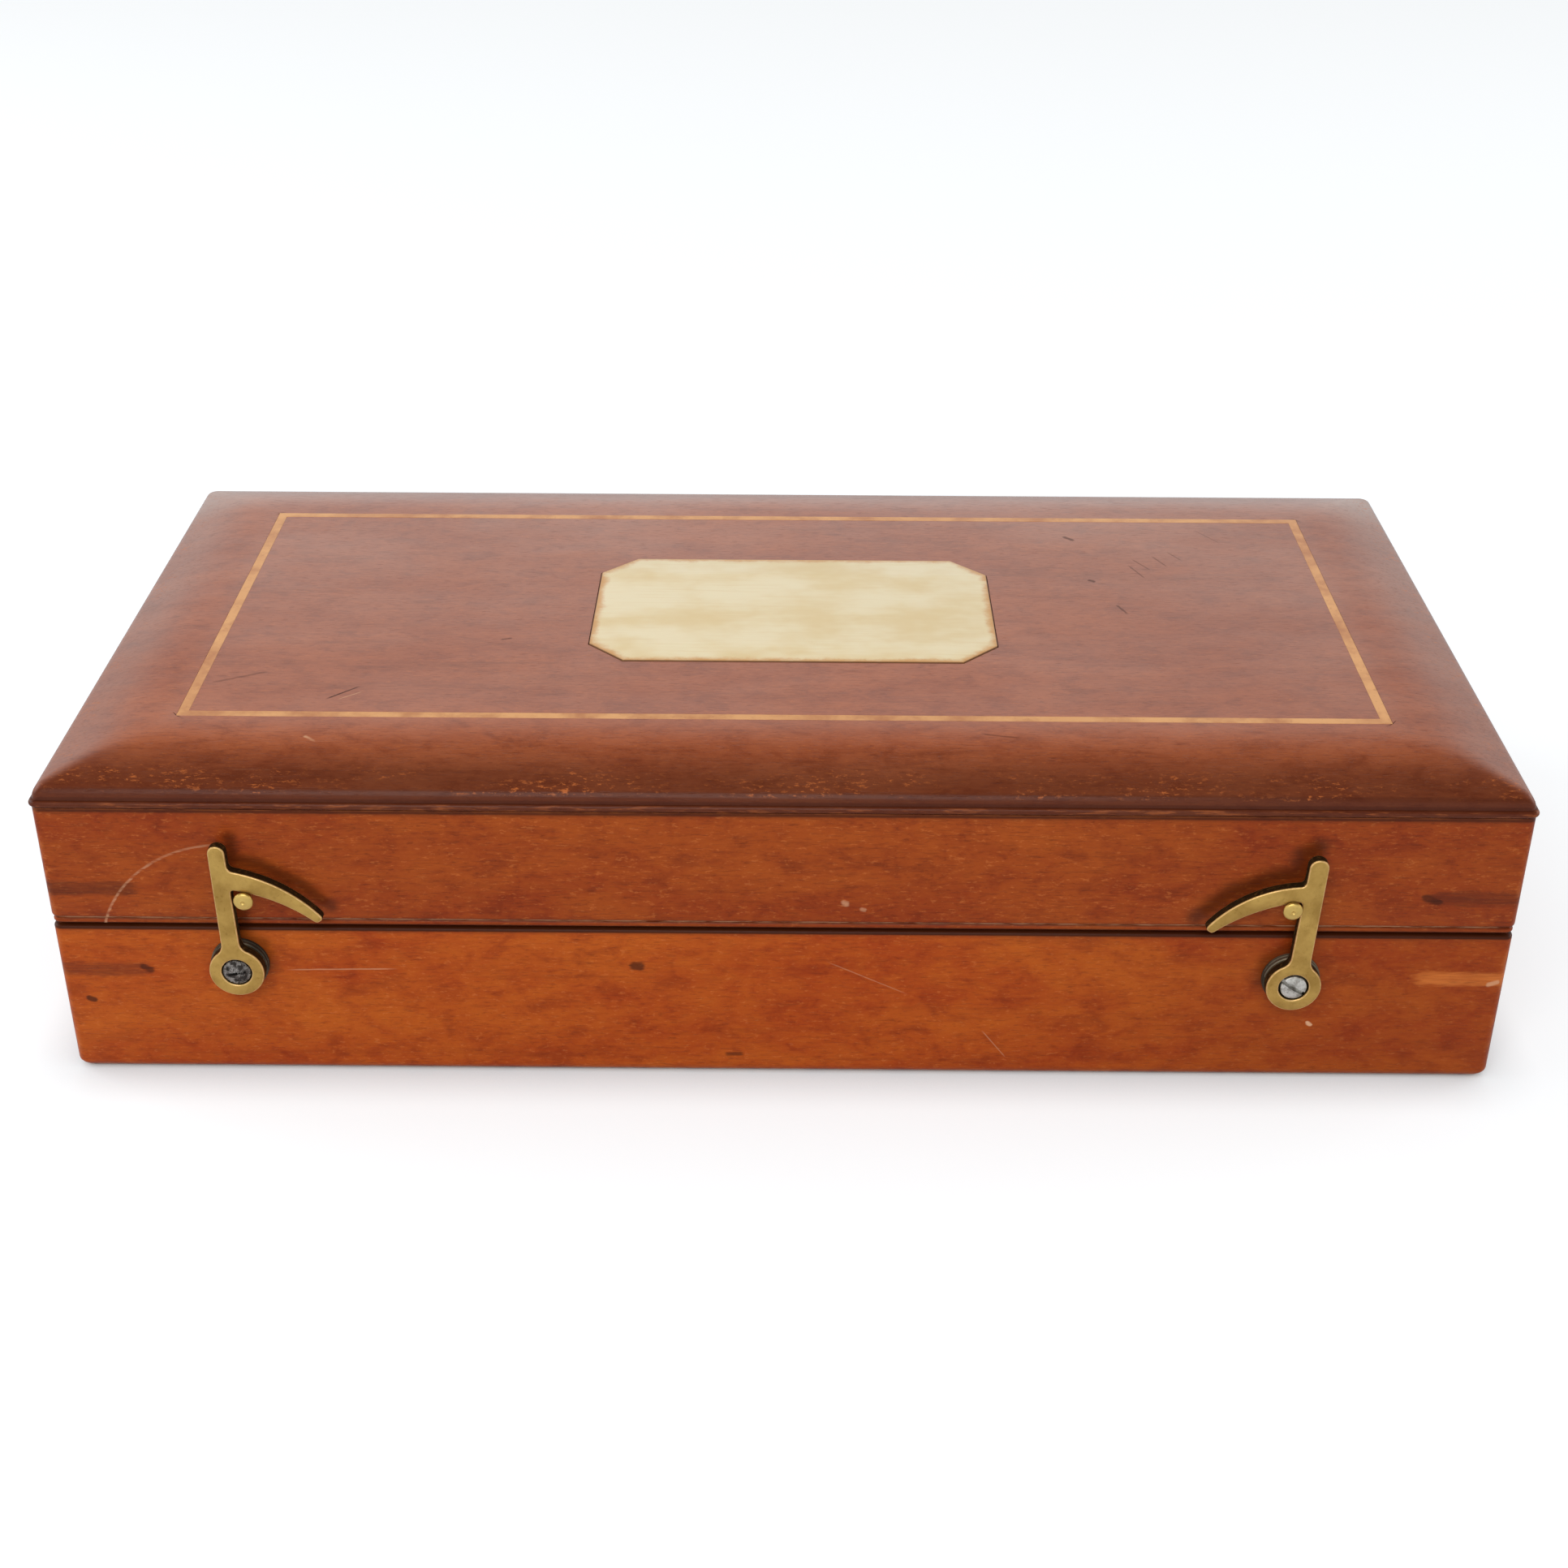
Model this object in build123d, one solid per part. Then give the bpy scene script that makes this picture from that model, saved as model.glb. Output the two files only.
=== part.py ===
from build123d import *
import math
from typing import NamedTuple
import os

# A cased hydrometer set: a mahogany case with a hinged lid and two side hooks,
# holding a brass hydrometer, its nine slotted weights and its thermometer.
# The origin is the middle of the case's underside. X runs along the case,
# Y runs from the front to the back, Z is up. All sizes are in millimetres.

# Case; its length, width and height follow from the set that it holds
base_height = 25.0
seam_gap = 0.3
wall = 8.0
corner_ease = 0.8
bottom_ease = 0.9
seam_ease = 0.4
lid_seam_ease = 0.6
base_board = 5.0
rebate_depth = 4.0

# Corner feather keys
key_leg = 12.6
key_thickness = 1.9
base_key_drop = 7.3
lid_key_rise = 6.0

# Lid top panel
panel_thickness = 5.5
panel_lip_height = 1.1
panel_overhang = 0.3
moulding_step = 0.5
moulding_width = 15.0
moulding_nose = 2.2

# Inlay on the lid
string_margin = 16.75
string_width = 1.5
string_depth = 1.0
plaque_length = 61.7
plaque_breadth = 36.5
plaque_corner = 5.5
plaque_thickness = 1.2
plaque_proud = 0.15
plaque_shift = 1.25

# Butt hinges in the back edge
hinge_length = 25.0
hinge_inset = 41.0
barrel_radius = 1.6
pin_radius = 0.6
pin_fit = 0.05
knuckle_count = 3
knuckle_gap = 0.1
leaf_thickness = 0.8
leaf_width = 5.2
barrel_clearance = 0.3
leaf_clearance = 0.15
lid_travel = 100.0
stop_gap = 1.0
hinge_screw_spread = 15.0
hinge_screw_inset = 2.0
hinge_head_radius = 1.3
hinge_shank_radius = 0.7
hinge_head_depth = 0.65
hinge_screw_length = 6.0

# Side hooks, each on its own screw
right_pivot_inset = 30.76
right_pivot_drop = 7.06
left_pivot_inset = 26.05
left_pivot_drop = 5.82
washer_radius = 4.1
washer_thickness = 1.2
hook_thickness = 1.6
hook_lift = 0.05
eye_radius = 3.9
arm_root_shift = 0.33
tail_tip_round = 0.6
hook_inner_round = 0.7
hook_neck_round = 1.4
hook_bore_fit = 0.05
hook_shank_radius = 1.15
hook_head_radius = 2.05
hook_head_height = 1.1
hook_head_fit = 0.12
head_sink = 0.9
screw_slot_width = 0.5
screw_slot_depth = 0.5
right_slot_angle = -42.0
left_slot_angle = 15.0
hook_screw_bite = 6.0
stud_neck_radius = 0.85
stud_head_radius = 1.37
stud_head_height = 0.65
stud_proud = 3.65
stud_bite = 4.0


class HookShape(NamedTuple):
    """The sizes of one hand-filed hook; the tail's radii are at the arm, halfway and at its tip."""

    arm_length: float
    arm_lean: float
    arm_root_half: float
    arm_tip_radius: float
    tail_inner: tuple[float, float, float]
    tail_outer: tuple[float, float, float]
    tail_sweep: float
    stud_reach: float
    stud_side: float


hook_shapes = {
    "left": HookShape(
        arm_length=20.8, arm_lean=0.6, arm_root_half=1.33, arm_tip_radius=1.2,
        tail_inner=(13.9, 13.65, 14.75), tail_outer=(16.95, 16.1, 16.05), tail_sweep=55.5,
        stud_reach=12.44, stud_side=2.43,
    ),
    "right": HookShape(
        arm_length=21.15, arm_lean=1.25, arm_root_half=1.47, arm_tip_radius=1.36,
        tail_inner=(14.4, 14.2, 15.35), tail_outer=(16.85, 16.7, 16.6), tail_sweep=54.0,
        stud_reach=13.25, stud_side=1.7,
    ),
}

# Sides of the small turned pieces and of the weights
screw_sides = 8
peg_sides = 16
disc_sides = 20

# Hydrometer
ball_radius = 17.5
ball_shell = 0.6
upper_stem_length = 88.0
stem_breadth = 3.4
stem_thickness = 1.5
collar_radius = 2.6
collar_length = 2.0
cavity_half_steps = (0.42, 0.76)
lower_stem_length = 30.5
lower_stem_radius = 1.6
bulb_radius = 5.8
bulb_length = 16.5

# Slotted weights, standing on edge in a row
weight_count = 9
weight_step = 10
weight_pitch = 18.0
weight_small_radius = 10.0
weight_large_radius = 13.5
weight_thickness = 2.6
weight_slot_fit = 0.2

# Thermometer on its plate
plate_length = 150.0
plate_breadth = 9.0
plate_thickness = 1.8
plate_corner = 1.5
tube_radius = 1.4
tube_margin = 11.0
bulb_tube_radius = 2.3
bulb_tube_length = 9.0
clip_width = 3.0
clip_wall = 0.5
clip_fit = 0.05
clip_inset = 16.0

# Fitted block and lid lining
seat_gap = 0.3
block_drop = 0.4
ball_well_clearance = 0.5
stem_channel_clearance = 0.9
bulb_channel_clearance = 1.2
slot_floor_thickness = 2.0
slot_clearance = 0.3
plate_well_depth = 5.0
plate_well_clearance = 0.6
finger_well_radius = 8.0
front_web = 3.0
weight_web = 3.0
plate_web = 5.3
back_web = 4.3
end_web = 9.7
ball_headroom = 4.0
weight_headroom = 4.0
lining_thickness = 4.5
lining_hole_radius = 14.0

# Room that the set needs inside the case
overcut = 2.0
weight_row = (weight_count - 1) * weight_pitch + weight_thickness
overall_length = upper_stem_length + 2 * ball_radius + lower_stem_length + bulb_length
set_length = max(overall_length, weight_row, plate_length)
weight_well = 2 * (weight_large_radius + slot_clearance)
ball_well = 2 * (ball_radius + ball_well_clearance)
plate_well = plate_breadth + 2 * plate_well_clearance
webs = front_web + weight_web + plate_web + back_web
inner_half_length = set_length / 2 + end_web + seat_gap
inner_half_width = (weight_well + ball_well + plate_well + webs) / 2 + seat_gap
axis_z = base_board + seat_gap + ball_radius
slot_floor = base_board + slot_floor_thickness
weight_top = slot_floor + slot_clearance + 2 * weight_large_radius
room_over_ball = axis_z + ball_radius + ball_headroom
room_over_weights = weight_top + weight_headroom + lining_thickness + seat_gap

# Case outside and the places that follow from it
half_length = inner_half_length + wall
half_width = inner_half_width + wall
case_length = 2 * half_length
case_width = 2 * half_width
lid_floor = base_height + seam_gap
panel_floor = max(room_over_ball, room_over_weights)
lid_top = panel_floor + panel_thickness
base_key_z = base_height - base_key_drop
lid_key_z = lid_floor + lid_key_rise
hinge_y = half_width - barrel_radius
hinge_z = base_height + seam_gap / 2
hinge_places = (hinge_inset - half_length, half_length - hinge_inset)
pivots = {
    "left": (left_pivot_inset - half_length, base_height - left_pivot_drop),
    "right": (half_length - right_pivot_inset, base_height - right_pivot_drop),
}

# Places in the fitted block
block_half_length = inner_half_length - seat_gap
block_half_width = inner_half_width - seat_gap
block_top = base_height - block_drop
weight_y = -block_half_width + front_web + weight_well / 2
hydrometer_y = weight_y + weight_well / 2 + weight_web + ball_well / 2
thermometer_y = hydrometer_y + ball_well / 2 + plate_web + plate_well / 2
bulb_tip_x = -overall_length / 2
bulb_x = bulb_tip_x + bulb_radius
stem_root_x = bulb_tip_x + bulb_length
ball_x = stem_root_x + lower_stem_length + ball_radius
stem_top_x = overall_length / 2

SIDES = ("left", "right")
nodes = {}


def slab(x_low, x_high, y_low, y_high, z_low, z_high):
    """A box between two corners."""
    middle = Pos((x_low + x_high) / 2, (y_low + y_high) / 2, (z_low + z_high) / 2)
    return middle * Box(x_high - x_low, y_high - y_low, z_high - z_low)


def rod(x, y, z, radius, length, direction):
    """A cylinder that starts at a point and runs along a direction."""
    start = Plane(origin=(x, y, z), z_dir=direction)
    return extrude(start * Circle(radius), length)


def peg(x, y, z, radius, length, direction, sides=peg_sides):
    """A many-sided rod that starts at a point and runs along a direction."""
    start = Plane(origin=(x, y, z), z_dir=direction)
    return extrude(start * RegularPolygon(radius, sides), length)


def prism(points, z_low, z_high):
    """An upright prism over a polygon."""
    outline = make_face(Polyline(*points, close=True))
    return extrude(Pos(0, 0, z_low) * outline, z_high - z_low)


def case_body(z_low, z_high):
    """The case's outside as one block, with its upright corners eased."""
    body = slab(-half_length, half_length, -half_width, half_width, z_low, z_high)
    return chamfer(body.edges().filter_by(Axis.Z), corner_ease)


def mitre_prism(side, z_low, z_high):
    """The wedge of space that one board of the case takes up between its mitres."""
    reach = wall + rebate_depth
    long_side = side in ("front", "back")
    along = half_length if long_side else half_width
    across = half_width if long_side else half_length
    outline = [
        (-along - overcut, -across - overcut),
        (along + overcut, -across - overcut),
        (along - reach, -across + reach),
        (-along + reach, -across + reach),
    ]
    turn = {"front": 0, "right_end": 90, "back": 180, "left_end": 270}[side]
    return Rot(0, 0, turn) * prism(outline, z_low - overcut, z_high + overcut)


def key_prism(corner_x, corner_y, key_z):
    """The slip of space that a feather key takes up across one corner."""
    far_x = half_length + overcut
    far_y = half_width + overcut
    back_x = half_length - key_leg - overcut
    back_y = half_width - key_leg - overcut
    outline = [
        (corner_x * far_x, corner_y * far_y),
        (corner_x * back_x, corner_y * far_y),
        (corner_x * far_x, corner_y * back_y),
    ]
    return prism(outline, key_z - key_thickness / 2, key_z + key_thickness / 2)


def corner_slots(key_z):
    """The four key slots at one height."""
    return [key_prism(x, y, key_z) for x in (-1, 1) for y in (-1, 1)]


def hinge_bevel():
    """The V between lid and base along the back, which stops the lid when it is open."""
    half_angle = math.radians((lid_travel + stop_gap) / 2)
    reach = barrel_radius + overcut
    rise = reach * math.tan(half_angle)
    outline = Polyline((0, 0), (reach, rise), (reach, -rise), close=True)
    section = Plane(origin=(-half_length - overcut, hinge_y, hinge_z), x_dir=(0, 1, 0), z_dir=(1, 0, 0))
    return extrude(section * make_face(outline), case_length + 2 * overcut)


def barrel_recess(x):
    """The round hollow that the knuckles of one hinge turn in."""
    length = hinge_length + 2 * leaf_clearance
    return rod(x - length / 2, hinge_y, hinge_z, barrel_radius + barrel_clearance, length, (1, 0, 0))


def leaf_slab(x, z_low, z_high, ease):
    """The flat of one hinge leaf, or the shallow recess that it is let into."""
    half = hinge_length / 2 + ease
    return slab(x - half, x + half, hinge_y - leaf_width - ease, hinge_y, z_low, z_high)


def hinge_screw_places(x):
    """Where the screws of one leaf stand."""
    y = hinge_y - leaf_width + hinge_screw_inset
    return [(x - hinge_screw_spread / 2, y), (x + hinge_screw_spread / 2, y)]


def hinge_screw(x, y, z, up):
    """A screw whose flat head is sunk to height z; up is the way that it is driven."""
    head = peg(x, y, z, hinge_head_radius, hinge_head_depth, (0, 0, up), screw_sides)
    return head + peg(x, y, z, hinge_shank_radius, hinge_screw_length, (0, 0, up), screw_sides)


def hinge_leaf(x, face_z, up, first_knuckle):
    """A leaf with every second knuckle; up is the way that its screws are driven."""
    z_far = face_z + up * leaf_thickness
    leaf = leaf_slab(x, min(face_z, z_far), max(face_z, z_far), 0)
    pitch = hinge_length / knuckle_count
    start = x - hinge_length / 2
    for index in range(knuckle_count):
        knuckle_x = start + index * pitch
        if index % 2 == first_knuckle:
            low = knuckle_x + (knuckle_gap / 2 if index else 0)
            high = knuckle_x + pitch - (knuckle_gap / 2 if index < knuckle_count - 1 else 0)
            leaf += peg(low, hinge_y, hinge_z, barrel_radius, high - low, (1, 0, 0), disc_sides)
        else:
            low = knuckle_x - knuckle_gap / 2
            gap = pitch + knuckle_gap
            leaf -= rod(low, hinge_y, hinge_z, barrel_radius + leaf_clearance, gap, (1, 0, 0))
    leaf -= peg(start - overcut, hinge_y, hinge_z, pin_radius + pin_fit,
                hinge_length + 2 * overcut, (1, 0, 0))
    for screw_x, screw_y in hinge_screw_places(x):
        leaf -= hinge_screw(screw_x, screw_y, face_z, up)
    return leaf


def hinge_pin(x):
    """The pin of one hinge."""
    return peg(x - hinge_length / 2, hinge_y, hinge_z, pin_radius, hinge_length, (1, 0, 0))


def stud_place(side):
    """Where the stud that a hook catches stands on the lid."""
    x, z = pivots[side]
    shape = hook_shapes[side]
    rise = math.sqrt(shape.stud_reach**2 - shape.stud_side**2)
    inward = shape.stud_side if side == "left" else -shape.stud_side
    return x + inward, z + rise


# Base of the case
def base_carcass():
    """The four base boards in one, with every recess cut."""
    body = case_body(0, base_height)
    body = chamfer(body.edges().group_by(Axis.Z)[0], bottom_ease)
    body = chamfer(body.edges().group_by(Axis.Z)[-1], seam_ease)
    body -= slab(-inner_half_length, inner_half_length, -inner_half_width, inner_half_width,
                 -overcut, base_height + overcut)
    body -= base_board_space()
    body -= corner_slots(base_key_z)
    body -= hinge_bevel()
    for x in hinge_places:
        body -= barrel_recess(x)
        body -= leaf_slab(x, base_height - leaf_thickness, base_height + overcut, 0)
        for screw_x, screw_y in hinge_screw_places(x):
            body -= hinge_screw(screw_x, screw_y, base_height, -1)
    for side in SIDES:
        x, z = pivots[side]
        body -= peg(x, -half_width, z, hook_shank_radius, hook_screw_bite, (0, 1, 0))
    return body


def base_board_space():
    """The rebate that the bottom board fills."""
    x = inner_half_length + rebate_depth
    y = inner_half_width + rebate_depth
    return slab(-x, x, -y, y, 0, base_board)


def make_base():
    """The base's boards, bottom and keys."""
    carcass = base_carcass()
    for side in ("front", "back", "left_end", "right_end"):
        nodes[f"base_{side}"] = carcass & mitre_prism(side, 0, base_height)
    nodes["base_bottom"] = base_board_space()
    outside = case_body(0, base_height)
    nodes["base_corner_keys"] = [outside & slot for slot in corner_slots(base_key_z)]


# Lid of the case
def lid_carcass():
    """The four lid boards in one, with every recess cut."""
    body = case_body(lid_floor, panel_floor)
    body = chamfer(body.edges().group_by(Axis.Z)[0], lid_seam_ease)
    body -= slab(-inner_half_length, inner_half_length, -inner_half_width, inner_half_width,
                 lid_floor - overcut, panel_floor + overcut)
    body -= corner_slots(lid_key_z)
    body -= hinge_bevel()
    for x in hinge_places:
        body -= barrel_recess(x)
        body -= leaf_slab(x, lid_floor - overcut, lid_floor + leaf_thickness, 0)
        for screw_x, screw_y in hinge_screw_places(x):
            body -= hinge_screw(screw_x, screw_y, lid_floor, 1)
    for side in SIDES:
        x, z = stud_place(side)
        body -= peg(x, -half_width, z, stud_neck_radius, stud_bite, (0, 1, 0))
    return body


def moulding_curve(edge, floor):
    """The long round of the moulding: a small nose arc that runs into a wide, nearly flat one."""
    rise = panel_thickness - floor
    nose_x = edge - moulding_nose
    run = moulding_width - moulding_nose
    wide = (run**2 + rise**2 - moulding_nose**2) / (2 * (rise - moulding_nose))
    wide_x = edge - moulding_width
    wide_z = panel_thickness - wide
    meet = math.atan2(floor - wide_z, nose_x - wide_x)

    def on_nose(angle):
        return nose_x + moulding_nose * math.cos(angle), floor + moulding_nose * math.sin(angle)

    def on_wide(angle):
        return wide_x + wide * math.cos(angle), wide_z + wide * math.sin(angle)

    top = math.pi / 2
    return [
        ThreePointArc(on_nose(0), on_nose(meet / 2), on_nose(meet)),
        ThreePointArc(on_wide(meet), on_wide((meet + top) / 2), on_wide(top)),
    ]


def moulding_section(half, length, plane):
    """The lid panel's cross-section: lip, step and long round, run along one way."""
    edge = half + panel_overhang
    shoulder = edge - moulding_step
    lip = panel_lip_height / 2
    right = [
        Line((0, 0), (edge - lip, 0)),
        ThreePointArc((edge - lip, 0), (edge, lip), (edge - lip, panel_lip_height)),
        Line((edge - lip, panel_lip_height), (shoulder, panel_lip_height)),
        *moulding_curve(shoulder, panel_lip_height),
        Line((shoulder - moulding_width, panel_thickness), (0, panel_thickness)),
    ]
    left = [mirror(piece, Plane.YZ) for piece in right]
    return extrude(plane * make_face(right + left), length / 2, both=True)


def lid_panel():
    """The top panel: the same moulding run round all four edges, mitred at the corners."""
    floor = (0, 0, panel_floor)
    along_x = Plane(origin=floor, x_dir=(0, 1, 0), z_dir=(1, 0, 0))
    along_y = Plane(origin=floor, x_dir=(1, 0, 0), z_dir=(0, -1, 0))
    long_way = moulding_section(half_width, case_length + 2 * overcut, along_x)
    cross_way = moulding_section(half_length, case_width + 2 * overcut, along_y)
    return long_way & cross_way


def string_strips():
    """The four mitred strips of the inlaid line."""
    x_out = half_length - string_margin
    y_out = half_width - string_margin
    x_in = x_out - string_width
    y_in = y_out - string_width
    z_low = lid_top - string_depth
    strips = []
    for turn in (1, -1):
        strips.append(prism(
            [(-x_out, -turn * y_out), (x_out, -turn * y_out), (x_in, -turn * y_in), (-x_in, -turn * y_in)],
            z_low, lid_top))
        strips.append(prism(
            [(turn * x_out, -y_out), (turn * x_out, y_out), (turn * x_in, y_in), (turn * x_in, -y_in)],
            z_low, lid_top))
    return strips


def plaque_plate():
    """The name plate with clipped corners, bare, let into the panel."""
    outline = Pos(plaque_shift, 0) * Rectangle(plaque_length, plaque_breadth)
    outline = chamfer(outline.vertices(), plaque_corner)
    z_low = lid_top + plaque_proud - plaque_thickness
    return extrude(Pos(0, 0, z_low) * outline, plaque_thickness)


def lining_pad():
    """The padded lining under the panel, with a round hollow over the ball."""
    x = block_half_length
    y = block_half_width
    z_high = panel_floor - seat_gap
    pad = slab(-x, x, -y, y, z_high - lining_thickness, z_high)
    return pad - peg(ball_x, hydrometer_y, z_high - lining_thickness - overcut, lining_hole_radius,
                     lining_thickness + 2 * overcut, (0, 0, 1), disc_sides)


def make_lid():
    """The lid's boards, keys, panel, inlay and lining."""
    carcass = lid_carcass()
    for side in ("front", "back", "left_end", "right_end"):
        nodes[f"lid_{side}"] = carcass & mitre_prism(side, lid_floor, panel_floor)
    outside = case_body(lid_floor, panel_floor)
    nodes["lid_corner_keys"] = [outside & slot for slot in corner_slots(lid_key_z)]
    strips = string_strips()
    plaque = plaque_plate()
    nodes["lid_top_panel"] = lid_panel() - strips - plaque
    nodes["string_inlay"] = strips
    nodes["plaque"] = plaque
    nodes["lid_lining_pad"] = lining_pad()


# Hinges
def make_hinges():
    """The two hinges and their screws."""
    for side, x in zip(SIDES, hinge_places):
        nodes[f"{side}_hinge_base_leaf"] = hinge_leaf(x, base_height, -1, 0)
        nodes[f"{side}_hinge_lid_leaf"] = hinge_leaf(x, lid_floor, 1, 1)
        nodes[f"{side}_hinge_pin"] = hinge_pin(x)
    places = [place for x in hinge_places for place in hinge_screw_places(x)]
    nodes["hinge_base_screws"] = [hinge_screw(x, y, base_height, -1) for x, y in places]
    nodes["hinge_lid_screws"] = [hinge_screw(x, y, lid_floor, 1) for x, y in places]


# Side hooks
def polar(radius, angle):
    """A point at an angle from straight up, measured towards the tail."""
    return -radius * math.sin(math.radians(angle)), radius * math.cos(math.radians(angle))


def corners_at(outline, radius):
    """The corners beside a hook's arm that lie at one distance from its pivot."""
    return [
        corner for corner in outline.vertices()
        if abs(math.hypot(corner.X, corner.Y) - radius) < hook_inner_round / 2
        and corner.X > -eye_radius and corner.Y > eye_radius / 2
    ]


def hook_outline(shape):
    """A right-hand hook seen from the front, round its pivot: eye, arm and tail."""
    tip_z = shape.arm_length - shape.arm_tip_radius
    tip_left = (shape.arm_lean - shape.arm_tip_radius, tip_z)
    tip_right = (shape.arm_lean + shape.arm_tip_radius, tip_z)
    root_left = (arm_root_shift - shape.arm_root_half, 0)
    root_right = (arm_root_shift + shape.arm_root_half, 0)
    arm = make_face([
        Line(root_left, tip_left),
        ThreePointArc(tip_left, (shape.arm_lean, shape.arm_length), tip_right),
        Line(tip_right, root_right),
        Line(root_right, root_left),
    ])
    angles = (0, shape.tail_sweep / 2, shape.tail_sweep)
    inner = [polar(radius, angle) for radius, angle in zip(shape.tail_inner, angles)]
    outer = [polar(radius, angle) for radius, angle in zip(shape.tail_outer, angles)]
    tail = make_face([
        ThreePointArc(*inner),
        Line(inner[-1], outer[-1]),
        ThreePointArc(*reversed(outer)),
        Line(outer[0], inner[0]),
    ])
    tips = tail.vertices().sort_by(Axis.X)[:2]
    tail = fillet(tips, tail_tip_round)
    hook = Circle(eye_radius) + arm + tail
    hook = fillet(corners_at(hook, shape.tail_inner[0]) + corners_at(hook, shape.tail_outer[0]),
                  hook_inner_round)
    return fillet(corners_at(hook, eye_radius), hook_neck_round)


def hook_solid(side):
    """One hook in its place on the case's front."""
    x, z = pivots[side]
    outline = hook_outline(hook_shapes[side])
    if side == "left":
        outline = mirror(outline, Plane.YZ)
    back_y = -half_width - washer_thickness - hook_lift
    plate = Plane(origin=(x, back_y, z), x_dir=(1, 0, 0), z_dir=(0, -1, 0))
    hook = extrude(plate * outline, hook_thickness)
    hook -= peg(x, back_y + overcut, z, hook_shank_radius + hook_bore_fit,
                hook_thickness + 2 * overcut, (0, -1, 0))
    sink_y = back_y - hook_thickness + head_sink
    hook -= peg(x, sink_y, z, hook_head_radius + hook_head_fit, hook_thickness, (0, -1, 0), disc_sides)
    return hook


def hook_washer(side):
    """The washer that holds a hook off the wood."""
    x, z = pivots[side]
    disc = peg(x, -half_width, z, washer_radius, washer_thickness, (0, -1, 0), disc_sides)
    return disc - peg(x, -half_width, z, hook_shank_radius, washer_thickness, (0, -1, 0))


def hook_screw(side):
    """The slotted screw that a hook turns on."""
    x, z = pivots[side]
    seat_y = -half_width - washer_thickness - hook_lift - hook_thickness + head_sink - hook_bore_fit
    head = peg(x, seat_y, z, hook_head_radius, hook_head_height, (0, -1, 0), disc_sides)
    shank_length = hook_screw_bite - half_width - seat_y
    shank = peg(x, seat_y, z, hook_shank_radius, shank_length, (0, 1, 0))
    angle = right_slot_angle if side == "right" else left_slot_angle
    slot = Box(2 * hook_head_radius + overcut, 2 * screw_slot_depth, screw_slot_width)
    return head + shank - Pos(x, seat_y - hook_head_height, z) * Rot(0, angle, 0) * slot


def hook_stud(side):
    """The stud on the lid that a hook catches."""
    x, z = stud_place(side)
    neck = peg(x, -half_width + stud_bite, z, stud_neck_radius, stud_bite + stud_proud, (0, -1, 0))
    head_y = -half_width - stud_proud + stud_head_height
    return neck + peg(x, head_y, z, stud_head_radius, stud_head_height, (0, -1, 0))


def make_hooks():
    """Both hooks with their washers, screws and studs."""
    for side in SIDES:
        nodes[f"{side}_hook"] = hook_solid(side)
        nodes[f"{side}_hook_washer"] = hook_washer(side)
        nodes[f"{side}_hook_screw"] = hook_screw(side)
        nodes[f"{side}_hook_stud"] = hook_stud(side)


# Instrument
def hydrometer_bulb():
    """Half of the pear-shaped bulb's outline along its axis."""
    run = bulb_length - bulb_radius
    touch = math.atan2(lower_stem_radius, run)
    touch += math.acos(bulb_radius / math.hypot(run, lower_stem_radius))

    def on_bulb(angle):
        return bulb_x + bulb_radius * math.cos(angle), bulb_radius * math.sin(angle)

    stem_end = (stem_root_x, lower_stem_radius)
    return make_face([
        ThreePointArc(on_bulb(math.pi), on_bulb((math.pi + touch) / 2), on_bulb(touch)),
        Line(on_bulb(touch), stem_end),
        Line(stem_end, (stem_root_x, 0)),
        Line((stem_root_x, 0), (bulb_tip_x, 0)),
    ])


def ball_cavity():
    """The hollow of the ball, turned in steps, each as wide as the shell allows."""
    inner = ball_radius - ball_shell
    cavity = None
    for half_step in cavity_half_steps:
        half = inner * half_step
        radius = math.sqrt(inner**2 - half**2)
        step = peg(ball_x - half, 0, 0, radius, 2 * half, (1, 0, 0), disc_sides)
        cavity = step if cavity is None else cavity + step
    return cavity


def make_hydrometer():
    """The brass float with its flat scale stem, lying in the case."""
    ball = Pos(ball_x, 0, 0) * Rot(0, 90, 0) * Sphere(ball_radius)
    body = ball - ball_cavity()
    body += peg(stem_root_x, 0, 0, lower_stem_radius, lower_stem_length + overcut, (1, 0, 0))
    body += revolve(hydrometer_bulb(), Axis.X)
    collar_start = ball_x + ball_radius - collar_length / 2
    body += peg(collar_start, 0, 0, collar_radius, 2 * collar_length, (1, 0, 0), disc_sides)
    body += slab(ball_x + ball_radius, stem_top_x, -stem_breadth / 2, stem_breadth / 2,
                 -stem_thickness / 2, stem_thickness / 2)
    nodes["hydrometer"] = Pos(0, hydrometer_y, axis_z) * body


# Weights
def weight_radius(index):
    """The radius of one weight; the higher its number, the larger it is."""
    return weight_small_radius + index * (weight_large_radius - weight_small_radius) / (weight_count - 1)


def weight_x(index):
    """Where one weight stands along the case."""
    return (index - (weight_count - 1) / 2) * weight_pitch


def weight_disc(index):
    """A slotted disc on edge, its slot open at the top."""
    radius = weight_radius(index)
    z = slot_floor + slot_clearance + radius
    x = weight_x(index) - weight_thickness / 2
    disc = peg(x, weight_y, z, radius, weight_thickness, (1, 0, 0), disc_sides)
    half_slot = lower_stem_radius + weight_slot_fit
    slot = slab(x - overcut, x + weight_thickness + overcut, weight_y - half_slot, weight_y + half_slot,
                z, z + radius + overcut)
    eye = peg(x - overcut, weight_y, z, half_slot, weight_thickness + 2 * overcut, (1, 0, 0))
    return disc - slot - eye


def make_weights():
    """The nine numbered weights."""
    for index in range(weight_count):
        nodes[f"weight_{weight_step * (index + 1)}"] = weight_disc(index)


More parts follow.
